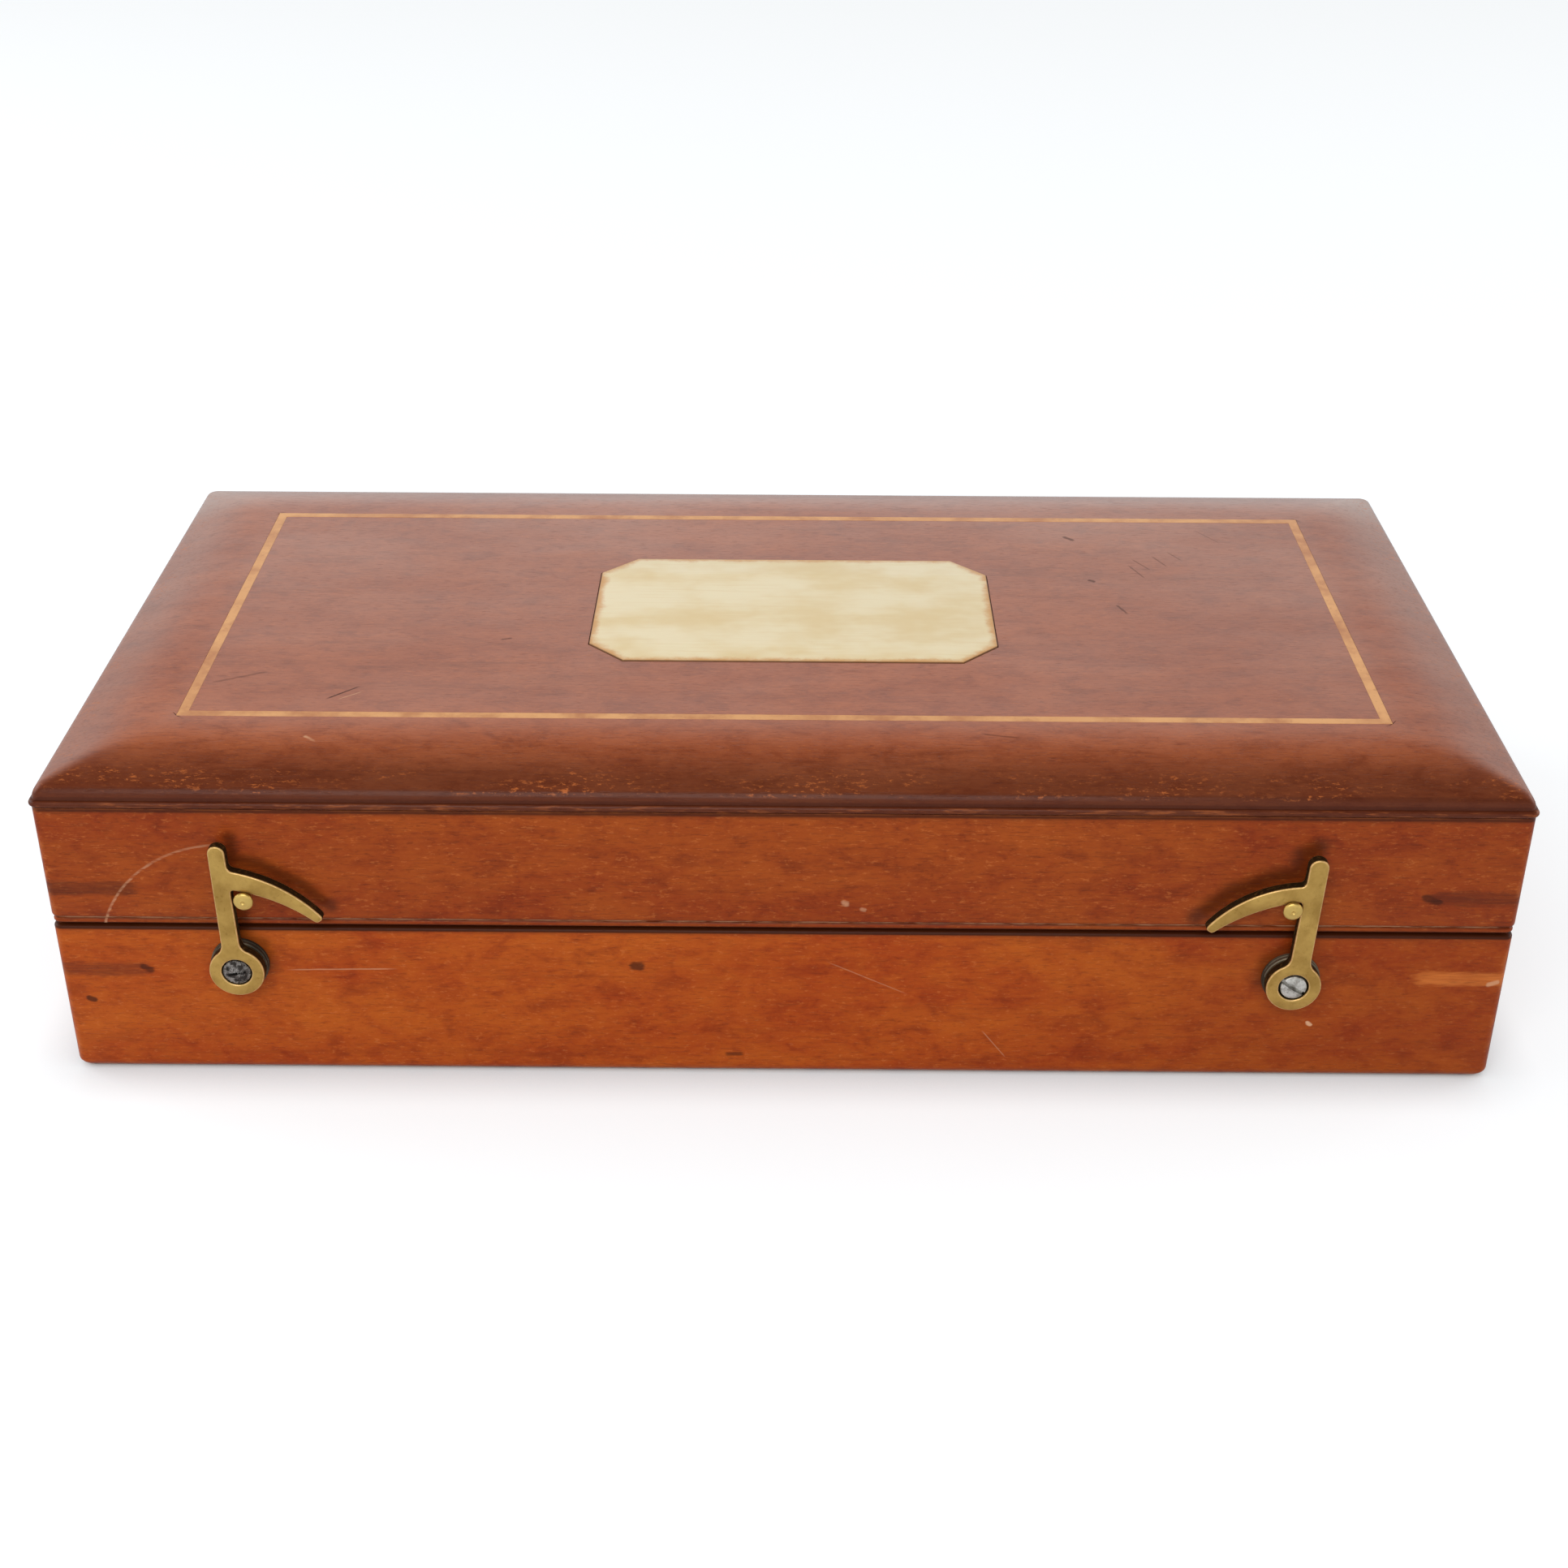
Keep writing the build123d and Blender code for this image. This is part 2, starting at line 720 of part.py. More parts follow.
# Thermometer
def make_thermometer():
    """The plate, the glass tube on it and the two clips that hold the tube."""
    plate_floor = block_top - plate_well_depth + slot_clearance
    plate_top = plate_floor + plate_thickness
    half_plate = plate_length / 2
    y_low = thermometer_y - plate_breadth / 2
    plate = slab(-half_plate, half_plate, y_low, y_low + plate_breadth, plate_floor, plate_top)
    nodes["thermometer_plate"] = chamfer(plate.edges().filter_by(Axis.Z), plate_corner)
    tube_z = plate_top + bulb_tube_radius
    half_tube = half_plate - tube_margin
    start = -half_tube
    tube = peg(start, thermometer_y, tube_z, bulb_tube_radius, bulb_tube_length, (1, 0, 0))
    tube += peg(start + bulb_tube_length / 2, thermometer_y, tube_z, tube_radius,
                2 * half_tube - bulb_tube_length / 2, (1, 0, 0))
    nodes["thermometer_tube"] = tube
    clip_x = half_tube - clip_inset
    nodes["thermometer_clips"] = [tube_clip(x, plate_top, tube_z) for x in (-clip_x, clip_x)]


def tube_clip(x, plate_top, tube_z):
    """A strap of brass bent over the tube, with a foot on each side."""
    inner = tube_radius + clip_fit
    outer = inner + clip_wall
    foot = plate_breadth / 2 - clip_wall
    low = x - clip_width / 2
    high = x + clip_width / 2
    strap = slab(low, high, thermometer_y - outer, thermometer_y + outer, plate_top, tube_z + outer)
    strap += slab(low, high, thermometer_y - foot, thermometer_y + foot, plate_top, plate_top + clip_wall)
    return strap - slab(low - overcut, high + overcut, thermometer_y - inner, thermometer_y + inner,
                        plate_top - overcut, tube_z + inner)


# Fitted block
def make_block():
    """The block that fills the base, with a seat for each piece of the set."""
    block = slab(-block_half_length, block_half_length, -block_half_width, block_half_width,
                 base_board, block_top)
    block -= rod(ball_x, hydrometer_y, base_board - overcut, ball_well / 2, base_height, (0, 0, 1))
    half_channel = collar_radius + stem_channel_clearance
    block -= slab(stem_root_x, stem_top_x + slot_clearance, hydrometer_y - half_channel,
                  hydrometer_y + half_channel, axis_z - collar_radius - slot_clearance, base_height)
    half_bulb = bulb_radius + bulb_channel_clearance
    block -= slab(bulb_tip_x - slot_clearance, stem_root_x + slot_clearance, hydrometer_y - half_bulb,
                  hydrometer_y + half_bulb, axis_z - bulb_radius - slot_clearance, base_height)
    for index in range(weight_count):
        half_slot = weight_thickness / 2 + slot_clearance
        reach = weight_radius(index) + slot_clearance
        slot_x = weight_x(index)
        block -= slab(slot_x - half_slot, slot_x + half_slot, weight_y - reach, weight_y + reach,
                      slot_floor, base_height)
    half_well = plate_length / 2 + plate_well_clearance
    block -= slab(-half_well, half_well, thermometer_y - plate_well / 2, thermometer_y + plate_well / 2,
                  block_top - plate_well_depth, base_height)
    finger_reach = plate_well / 2 + back_web / 2
    block -= rod(0, thermometer_y - finger_reach, block_top, finger_well_radius, 2 * finger_reach, (0, 1, 0))
    nodes["fitted_block"] = block


def solids_of(shape):
    """The separate solids of a node, as a flat list."""
    if isinstance(shape, (list, tuple)):
        return [solid for piece in shape for solid in solids_of(piece)]
    return list(shape.solids())


def write_nodes():
    """Write one file for each node."""
    os.makedirs("parts", exist_ok=True)
    for name, shape in nodes.items():
        solids = solids_of(shape)
        piece = solids[0] if len(solids) == 1 else Compound(children=solids)
        export_step(piece, f"parts/{name}.step")


make_base()
make_lid()
make_hinges()
make_hooks()
make_hydrometer()
make_weights()
make_thermometer()
make_block()
write_nodes()
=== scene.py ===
import logging
import math
from dataclasses import dataclass, replace
from enum import Enum
from typing import Callable, Sequence

import bmesh
import bpy
from mathutils import Matrix, Vector


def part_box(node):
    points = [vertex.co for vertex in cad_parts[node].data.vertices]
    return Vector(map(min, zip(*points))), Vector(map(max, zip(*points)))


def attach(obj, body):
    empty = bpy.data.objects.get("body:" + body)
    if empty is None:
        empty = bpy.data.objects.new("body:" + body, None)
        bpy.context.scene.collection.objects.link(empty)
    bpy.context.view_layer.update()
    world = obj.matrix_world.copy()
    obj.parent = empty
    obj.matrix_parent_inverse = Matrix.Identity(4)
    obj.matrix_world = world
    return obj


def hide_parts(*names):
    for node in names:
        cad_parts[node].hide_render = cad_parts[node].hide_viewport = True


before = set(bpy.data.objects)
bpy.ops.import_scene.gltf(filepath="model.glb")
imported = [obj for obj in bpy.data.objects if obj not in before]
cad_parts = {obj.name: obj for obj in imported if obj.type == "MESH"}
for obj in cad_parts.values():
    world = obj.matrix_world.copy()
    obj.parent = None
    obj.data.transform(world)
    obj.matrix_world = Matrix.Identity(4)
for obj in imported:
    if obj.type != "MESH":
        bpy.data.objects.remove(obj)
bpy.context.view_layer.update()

# A cased hydrometer set in its closed mahogany case: the looks of every piece.
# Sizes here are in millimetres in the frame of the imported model; a mesh is scaled to metres when it is made.

MM = 0.001
LOG = logging.getLogger("cased_set")

Point = tuple[float, float, float]
Flat = tuple[float, float]
Number = int | float


class Body(Enum):
    """The bodies that a piece can ride on."""

    CASE = "case"
    LID = "lid"
    LEFT_HOOK = "left_hook"
    RIGHT_HOOK = "right_hook"


class Side(Enum):
    """The two ends of the case; the value is the sign of X there."""

    LEFT = -1
    RIGHT = 1

    @property
    def word(self) -> str:
        """The side's name as the pieces use it."""
        return self.name.lower()


class Grain(Enum):
    """The axis that the grain of a board runs along."""

    ALONG_X = "x"
    ALONG_Y = "y"


class Tone(Enum):
    """What a mark or a rubbed line shows: bare lighter wood, dirt, or a pale bruise in the polish; a pale line along
    an arris is partly a painted highlight.
    """

    LIGHT = "light"
    DARK = "dark"
    PALE = "pale"


def extent(node: str) -> tuple[Vector, Vector]:
    """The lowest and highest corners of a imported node.

    Args:
        node: the node's name.

    Returns:
        Both corners, in millimetres.
    """
    low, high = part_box(node)
    return low / MM, high / MM


def centre(node: str) -> Vector:
    """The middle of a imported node's box, in millimetres."""
    low, high = extent(node)
    return (low + high) / 2


@dataclass(frozen=True)
class Paint:
    """A colour as it looks on a screen, each channel from 0 to 255."""

    red: float
    green: float
    blue: float

    def linear(self) -> tuple[float, float, float, float]:
        """The colour as the shader wants it, with an alpha of one."""
        channels = []
        for value in (self.red, self.green, self.blue):
            share = value / 255
            channels.append(share / 12.92 if share <= 0.04045 else ((share + 0.055) / 1.055) ** 2.4)
        return (*channels, 1.0)


class Field:
    """A number or a vector in a material's node graph, which can be worked with like a number."""

    def __init__(self, graph: "Graph", socket: bpy.types.NodeSocket) -> None:
        """Keep the graph and the socket that gives the value."""
        self.graph = graph
        self.socket = socket

    def __add__(self, other: "Field | Number") -> "Field":
        """Add two values."""
        return self.graph.math("ADD", self, other)

    def __sub__(self, other: "Field | Number") -> "Field":
        """Take one value from the other."""
        return self.graph.math("SUBTRACT", self, other)

    def __rsub__(self, other: Number) -> "Field":
        """Take this value from a number."""
        return self.graph.math("SUBTRACT", other, self)

    def __mul__(self, other: "Field | Number") -> "Field":
        """Multiply two values."""
        return self.graph.math("MULTIPLY", self, other)

    __radd__ = __add__
    __rmul__ = __mul__

    def size(self) -> "Field":
        """The value without its sign."""
        return self.graph.math("ABSOLUTE", self)

    def least(self, other: "Field | Number") -> "Field":
        """The smaller of two values."""
        return self.graph.math("MINIMUM", self, other)

    def most(self, other: "Field | Number") -> "Field":
        """The larger of two values."""
        return self.graph.math("MAXIMUM", self, other)

    def rise(self, low: float, high: float) -> "Field":
        """A smooth step from 0 at low to 1 at high.

        Args:
            low: where the step starts; it may lie above high, and then the step falls.
            high: where the step ends.

        Returns:
            The step's value, from 0 to 1.
        """
        flip = low > high
        node = self.graph.node("ShaderNodeMapRange")
        node.interpolation_type = "SMOOTHSTEP"
        self.graph.feed(node.inputs["Value"], self)
        self.graph.feed(node.inputs["From Min"], high if flip else low)
        self.graph.feed(node.inputs["From Max"], low if flip else high)
        self.graph.feed(node.inputs["To Min"], 1.0 if flip else 0.0)
        self.graph.feed(node.inputs["To Max"], 0.0 if flip else 1.0)
        return Field(self.graph, node.outputs["Result"])


class Graph:
    """One material's nodes, built by arithmetic on fields."""

    def __init__(self, name: str) -> None:
        """Make the material and the point that is shaded.

        Args:
            name: the material's name.
        """
        self.material = bpy.data.materials.new(name)
        self.material.use_nodes = True
        self.tree = self.material.node_tree
        self.shader = self.tree.nodes["Principled BSDF"]
        coordinates = self.node("ShaderNodeTexCoord")
        scaled = self.node("ShaderNodeVectorMath", operation="SCALE")
        self.tree.links.new(coordinates.outputs["Object"], scaled.inputs[0])
        scaled.inputs["Scale"].default_value = 1 / MM
        self.point = Field(self, scaled.outputs[0])
        self.x, self.y, self.z = self.split(self.point)

    def node(self, kind: str, **settings: object) -> bpy.types.Node:
        """Add a node and set its options."""
        made = self.tree.nodes.new(kind)
        for key, value in settings.items():
            setattr(made, key, value)
        return made

    def feed(self, socket: bpy.types.NodeSocket, value: "Field | Number | Sequence[float]") -> None:
        """Link a field to a socket, or set a constant on it."""
        if isinstance(value, Field):
            self.tree.links.new(value.socket, socket)
        else:
            socket.default_value = value

    def math(self, operation: str, *values: "Field | Number") -> Field:
        """Add a math node.

        Args:
            operation: the node's operation.
            values: what goes in.

        Returns:
            The result.
        """
        made = self.node("ShaderNodeMath", operation=operation)
        for socket, value in zip(made.inputs, values):
            self.feed(socket, value)
        return Field(self, made.outputs[0])

    def vector(self, operation: str, *values: "Field | Sequence[float]", scalar: bool = False) -> Field:
        """Add a vector math node.

        Args:
            operation: the node's operation.
            values: what goes in.
            scalar: whether the result is a number.

        Returns:
            The result.
        """
        made = self.node("ShaderNodeVectorMath", operation=operation)
        for socket, value in zip(made.inputs, values):
            self.feed(socket, value)
        return Field(self, made.outputs["Value" if scalar else "Vector"])

    def split(self, value: Field) -> tuple[Field, Field, Field]:
        """The three parts of a vector."""
        made = self.node("ShaderNodeSeparateXYZ")
        self.feed(made.inputs[0], value)
        return tuple(Field(self, output) for output in made.outputs)

    def noise(self, size: Point, seed: float, detail: float = 3.0, rough: float = 0.55,
              bend: float = 0.0) -> Field:
        """Noise whose blotches have a given size along each axis.

        Args:
            size: the blotches' size in millimetres along X, Y and Z.
            seed: moves the pattern.
            detail: how many finer layers it has.
            rough: how strong they are.
            bend: how far the pattern bends itself.

        Returns:
            The noise, from 0 to 1 with a middle of about 0.5.
        """
        stretched = self.vector("MULTIPLY_ADD", self.point, tuple(1 / s for s in size),
                                (seed * 13.7, seed * 7.3, seed * 3.1))
        made = self.node("ShaderNodeTexNoise")
        self.feed(made.inputs["Vector"], stretched)
        made.inputs["Scale"].default_value = 1.0
        made.inputs["Detail"].default_value = detail
        made.inputs["Roughness"].default_value = rough
        made.inputs["Distortion"].default_value = bend
        return Field(self, made.outputs[0])

    def tint(self, below: "Field | Paint", above: "Field | Paint", share: "Field | Number") -> Field:
        """Mix two colours.

        Args:
            below: the colour at a share of 0.
            above: the colour at a share of 1.
            share: how much of the second colour there is.

        Returns:
            The mixed colour.
        """
        made = self.node("ShaderNodeMix", data_type="RGBA")
        self.feed(made.inputs[0], share)
        for socket, value in ((made.inputs[6], below), (made.inputs[7], above)):
            self.feed(socket, value.linear() if isinstance(value, Paint) else value)
        return Field(self, made.outputs[2])

    def bump(self, height: Field, depth: float, under: Field | None = None) -> Field:
        """A surface relief.

        Args:
            height: the relief, from 0 to 1.
            depth: how deep it is, in millimetres.
            under: a relief that this one lies on.

        Returns:
            The normal.
        """
        made = self.node("ShaderNodeBump")
        made.inputs["Distance"].default_value = depth * MM
        self.feed(made.inputs["Height"], height)
        if under is not None:
            self.feed(made.inputs["Normal"], under)
        return Field(self, made.outputs[0])

    def reach(self, start: Point, end: Point) -> tuple[Field, Field]:
        """How far the point is from a straight line.

        Args:
            start: one end of the line.
            end: its other end.

        Returns:
            The distance in millimetres, and the nearest point's share of the way along.
        """
        way = Vector(end) - Vector(start)
        offset = self.vector("SUBTRACT", self.point, start)
        along = self.vector("DOT_PRODUCT", offset, tuple(way / way.length_squared), scalar=True)
        along = along.most(0.0).least(1.0)
        reached = self.node("ShaderNodeVectorMath", operation="SCALE")
        reached.inputs[0].default_value = way
        self.feed(reached.inputs["Scale"], along)
        gap = self.vector("SUBTRACT", offset, Field(self, reached.outputs[0]))
        return self.vector("LENGTH", gap, scalar=True), along

    def stroke(self, start: Point, end: Point, width: float, wobble: Field) -> Field:
        """How near the point is to a straight stroke; a long one thins out at its ends.

        Args:
            start: one end of the stroke.
            end: its other end.
            width: its width.
            wobble: something that makes its edge uneven.

        Returns:
            1 on the stroke, 0 away from it.
        """
        far, along = self.reach(start, end)
        line = (far + (wobble - 0.5) * width).rise(width, width * 0.35)
        if math.dist(start, end) < 4 * width:
            return line
        return line * (along * (1 - along)).rise(0.0, 0.16)

    def dress(self, **sockets: "Field | Number | Sequence[float]") -> bpy.types.Material:
        """Feed the shader's sockets.

        Args:
            sockets: values by socket name, with underscores for spaces.

        Returns:
            The finished material.
        """
        for name, value in sockets.items():
            self.feed(self.shader.inputs[name.replace("_", " ")], value)
        return self.material


@dataclass(frozen=True)
class Mark:
    """A scratch, dent or spot left by use."""

    start: Point
    end: Point
    width: float
    tone: Tone
    strength: float = 0.7


@dataclass(frozen=True)
class ArcMark:
    """The curved scratch that a swinging hook leaves round its pivot."""

    pivot: Flat
    radius: float
    reach: Flat
    width: float
    strength: float


@dataclass(frozen=True)
class PaintedShadow:
    """Painted shadow on the front, beside a hook, where shade falls in the gap behind it."""

    points: tuple[Flat, ...]
    width: float
    strength: float

    def share(self, g: Graph, wobble: Field) -> Field:
        """How much painted shadow the point gets."""
        line = [(x, -CASE.half_width, z) for x, z in self.points]
        far = g.reach(line[0], line[1])[0]
        for start, end in zip(line[1:], line[2:]):
            far = far.least(g.reach(start, end)[0])
        return (far + (wobble - 0.5) * self.width * 0.7).rise(self.width, 0.1) * self.strength


MADE: dict[str, bpy.types.Material] = {}


class Finish:
    """A surface finish: it makes its material once and gives it to each piece that asks."""

    name: str
    slot: str

    def material(self) -> bpy.types.Material:
        """The finish's material, made when it is first asked for."""
        if self.name not in MADE:
            MADE[self.name] = self.make()
        return MADE[self.name]

    def make(self) -> bpy.types.Material:
        """Build the material's nodes."""
        raise NotImplementedError


@dataclass(frozen=True)
class Rim:
    """A level arris: how much dirt and painted shade darken it, and how strong the rubbed line along it is, which on
    some arrises is partly a painted highlight.
    """

    height: float
    dirt_and_shade: float
    reach: float
    rub_and_highlight: float
    rub_and_highlight_width: float
    rub_and_highlight_tone: Tone = Tone.LIGHT


@dataclass(frozen=True)
class PolishedWood(Finish):
    """Old french-polished mahogany with open pores, worn arrises and the marks of use, with painted shade, sheen,
    highlights and shadows in its colour.
    """

    name: str
    slot: str
    light: Paint
    deep: Paint
    dark: Paint
    grain: Grain
    seed: float
    rough: float = 0.34
    gloss: float = 0.11
    worn: Paint = Paint(208, 118, 58)
    # The paint for dirt and for painted shade and shadow.
    grime_and_shade: Paint = Paint(56, 24, 11)
    pale: Paint = Paint(216, 166, 128)
    haze: Paint = Paint(171, 120, 100)
    rims: tuple[Rim, ...] = ()
    key_height: float | None = None
    key_tones: tuple[Paint, Paint] = (Paint(84, 36, 20), Paint(98, 40, 20))
    figure: float = 0.24
    shade: float = 0.1
    marks: tuple[Mark, ...] = ()
    painted_shadows: tuple[PaintedShadow, ...] = ()
    arc: ArcMark | None = None
    shaped: Callable[[Graph, Field], tuple[Field, Field, Field]] | None = None

    def along(self, long: float, cross: float) -> Point:
        """A blotch size that is long with the grain and short across it."""
        return (long, cross, cross) if self.grain is Grain.ALONG_X else (cross, long, cross)

    def paint_of(self, tone: Tone) -> Paint:
        """The paint that a mark of a tone is drawn with."""
        return {Tone.LIGHT: self.worn, Tone.DARK: self.grime_and_shade, Tone.PALE: self.pale}[tone]

    def make(self) -> bpy.types.Material:
        """Figure, pores, painted shade towards the right end, painted sheen, dirt and painted shade at the arrises,
        wear, painted highlights, painted shadows beside the hooks and marks, from the large to the small.
        """
        g = Graph(self.name)
        cloud = g.noise(self.along(38, 15), self.seed, 3.0, 0.55, 0.8)
        ribbon = g.noise(self.along(34, 2.2), self.seed + 1, 4.0, 0.62, 0.6)
        fibre = g.noise(self.along(4.2, 0.5), self.seed + 2, 3.0, 0.65)
        pores = g.noise(self.along(1.9, 0.2), self.seed + 3, 1.0, 0.4).rise(0.60, 0.70)
        mottle = g.noise(self.along(5.5, 3.6), self.seed + 4, 5.0, 0.68, 0.4)
        fleck = g.noise(self.along(1.25, 0.46), self.seed + 7, 3.0, 0.7)
        colour = g.tint(self.deep, self.light, cloud.rise(0.30, 0.70) * 0.55 + mottle.rise(0.32, 0.68) * 0.45)
        colour = g.tint(colour, self.dark, ribbon.rise(0.52, 0.78) * self.figure)
        colour = g.tint(colour, self.light, fibre.rise(0.50, 0.74) * 0.30)
        colour = g.tint(colour, self.dark, fibre.rise(0.48, 0.28) * 0.26)
        colour = g.tint(colour, self.dark, mottle.rise(0.50, 0.28) * 0.30)
        colour = g.tint(colour, self.worn, fleck.rise(0.57, 0.69) * 0.34)
        colour = g.tint(colour, self.dark, fleck.rise(0.43, 0.31) * 0.30)
        # Painted shade: darker towards the right end.
        colour = g.tint(colour, self.dark, g.x.rise(10.0, 90.0) * self.shade)
        if self.shaped is not None:
            sheen_share, worn, grime_and_shade = self.shaped(g, streak=fibre)
            bloom = g.noise((34, 16, 20), self.seed + 5, 3.0, 0.6).rise(0.30, 0.72)
            # Painted sheen and reflection in the colour, with bloom on the level field.
            colour = g.tint(colour, self.haze, sheen_share * (bloom * 0.3 + 0.7))
        colour = g.tint(colour, self.dark, pores * 0.26)
        relief = g.bump(pores * -1.0 + 1.0, 0.012, g.bump(cloud, 0.09))
        streak = g.noise(self.along(3.6, 0.5), self.seed + 6, 2.0, 0.7)
        if self.key_height is not None:
            colour = self.stain_keys(g, colour, streak, fibre)
        for rim in self.rims:
            colour = self.shade_and_wear_rim(g, colour, rim, streak, mottle)
        if self.shaped is not None:
            # Darkening towards the moulding's foot, with painted shade in the step and under the lip.
            colour = g.tint(colour, self.grime_and_shade, grime_and_shade)
            colour = g.tint(colour, self.worn, worn)
        colour = self.wear_corners(g, colour, mottle)
        # Painted shadow beside the hooks.
        for shadow_stroke in self.painted_shadows:
            colour = g.tint(colour, self.grime_and_shade, shadow_stroke.share(g, streak))
        colour = self.scratch(g, colour, streak)
        shine = fibre * 0.08 + mottle * 0.10 + (self.rough - 0.09)
        return g.dress(Base_Color=colour, Roughness=shine, Normal=relief, Specular_IOR_Level=self.gloss)

    def shade_and_wear_rim(self, g: Graph, colour: Field, rim: Rim, streak: Field, mottle: Field) -> Field:
        """Dirt and painted shade, and a rubbed line that is partly a painted highlight, along one level arris."""
        gap = (g.z - rim.height).size()
        depth = (CASE.half_length - g.x.size()).least(CASE.half_width - g.y.size())
        outside = depth.rise(1.6, 0.5)
        patchy = gap.rise(rim.reach, 0.1) * mottle.rise(0.30, 0.62) * 0.8
        # Dirt and painted shade along the arris, patchy at its reach.
        dirt_and_shade = patchy.most(gap.rise(rim.reach * 0.62, rim.reach * 0.3)) * outside * rim.dirt_and_shade
        colour = g.tint(colour, self.grime_and_shade, dirt_and_shade)
        # A rubbed line; on the pale rims it is partly a painted highlight, and on the bottom arris a painted
        # reflection of the floor.
        rub_and_highlight = gap.rise(rim.rub_and_highlight_width, rim.rub_and_highlight_width * 0.4) * streak.rise(0.36, 0.58) * rim.rub_and_highlight
        return g.tint(colour, self.paint_of(rim.rub_and_highlight_tone), rub_and_highlight)

    def wear_corners(self, g: Graph, colour: Field, mottle: Field) -> Field:
        """The upright arrises, rubbed by handling."""
        side = CASE.half_length - g.x.size()
        front = CASE.half_width - g.y.size()
        both = side.most(0.0) + front.most(0.0)
        return g.tint(colour, self.worn, both.rise(1.3, 0.5) * mottle.rise(0.42, 0.66) * 0.4)

    def stain_keys(self, g: Graph, colour: Field, streak: Field, fibre: Field) -> Field:
        """The stain of the corner keys, which has crept into the wood round them."""
        reach = (CASE.half_length - g.x.size()) + (CASE.half_width - g.y.size())
        height = g.z - self.key_height
        near = (height + (streak - 0.5) * 1.3).size().rise(1.5, 0.65)
        ends = (reach + (streak - 0.5) * 5.0).rise(13.6, 11.6)
        line = g.noise((7.0, 7.0, 0.28), self.seed + 8, 2.0, 0.7).rise(0.40, 0.62)
        tone = g.tint(self.key_tones[0], self.key_tones[1], g.x.rise(-1.0, 1.0))
        tone = g.tint(tone, self.grime_and_shade, fibre.rise(0.55, 0.72) * 0.4)
        return g.tint(colour, tone, near * ends * (line * 0.3 + 0.5))

    def scratch(self, g: Graph, colour: Field, streak: Field) -> Field:
        """Draw the marks of use."""
        for mark in self.marks:
            line = g.stroke(mark.start, mark.end, mark.width, streak) * mark.strength
            colour = g.tint(colour, self.paint_of(mark.tone), line)
        if self.arc is not None:
            across = g.x - self.arc.pivot[0]
            up = g.z - self.arc.pivot[1]
            far = g.math("SQRT", across * across + up * up)
            line = (far - self.arc.radius + (streak - 0.5) * 0.35).size()
            line = line.rise(self.arc.width, self.arc.width * 0.3)
            within = across.rise(self.arc.reach[0] + 3.5, self.arc.reach[0])
            front = (g.y + CASE.half_width).rise(1.5, 1.0)
            broken = streak.rise(0.34, 0.62) * 0.8 + 0.2
            low = g.z.rise(CASE.key_height_lid + 9.0, CASE.key_height_lid - 2.0) * 0.4 + 0.6
            colour = g.tint(colour, self.pale, line * within * front * broken * low * self.arc.strength)
        return colour


@dataclass(frozen=True)
class PlainWood(Finish):
    """A small piece of close-grained wood, such as a key or a strip of stringing."""

    name: str
    slot: str
    light: Paint
    dark: Paint
    length: Point
    seed: float
    rough: float = 0.42
    gloss: float = 0.3

    def make(self) -> bpy.types.Material:
        """Streaks along the grain and a few darker specks."""
        g = Graph(self.name)
        streak = g.noise(self.length, self.seed, 4.0, 0.65)
        speck = g.noise((0.7, 0.7, 0.7), self.seed + 1, 2.0, 0.5).rise(0.62, 0.72)
        slow = g.noise((24, 24, 24), self.seed + 2, 2.0)
        colour = g.tint(self.dark, self.light, streak.rise(0.30, 0.62))
        colour = g.tint(colour, self.dark, slow.rise(0.5, 0.72) * 0.4)
        colour = g.tint(colour, self.dark, speck * 0.5)
        relief = g.bump(streak, 0.02)
        return g.dress(Base_Color=colour, Roughness=streak * 0.12 + (self.rough - 0.06), Normal=relief,
                       Specular_IOR_Level=self.gloss)


@dataclass(frozen=True)
class AgedBrass(Finish):
    """Brass with a brown bloom on its faces, rubbed rims and, if it is flat, dark uncleaned sides."""

    name: str
    slot: str
    bright: Paint
    brown: Paint
    seed: float
    rough: float = 0.40
    bloom: float = 0.6
    facing: Point | None = None
    rim: Paint = Paint(222, 182, 122)
    sides: Paint = Paint(54, 42, 26)
    metal: float = 0.92

    def make(self) -> bpy.types.Material:
        """Bloom in soft clouds, finer specks of tarnish and file marks."""
        g = Graph(self.name)
        cloud = g.noise((4.5, 4.5, 4.5), self.seed, 4.0, 0.6, 0.3)
        speck = g.noise((0.55, 0.55, 0.55), self.seed + 1, 3.0, 0.6)
        filed = g.noise((0.5, 0.5, 3.6), self.seed + 2, 2.0, 0.5)
        share = cloud.rise(0.28, 0.70) * self.bloom + speck.rise(0.56, 0.74) * 0.25
        colour = g.tint(self.bright, self.brown, share)
        shine = share * 0.16 + self.rough
        if self.facing is not None:
            geometry = g.node("ShaderNodeNewGeometry")
            normal = Field(g, geometry.outputs["Normal"])
            flat = g.vector("DOT_PRODUCT", normal, self.facing, scalar=True).size()
            rubbed = flat.rise(0.28, 0.52) * flat.rise(0.992, 0.93)
            colour = g.tint(colour, self.rim, rubbed * (speck.rise(0.36, 0.58) * 0.5 + 0.4))
            hidden = flat.rise(0.34, 0.12)
            colour = g.tint(colour, self.sides, hidden * (speck.rise(0.70, 0.52) * 0.25 + 0.72))
            shine = shine + hidden * 0.2
        relief = g.bump(filed, 0.012, g.bump(speck, 0.008))
        return g.dress(Base_Color=colour, Metallic=self.metal, Roughness=shine, Normal=relief)


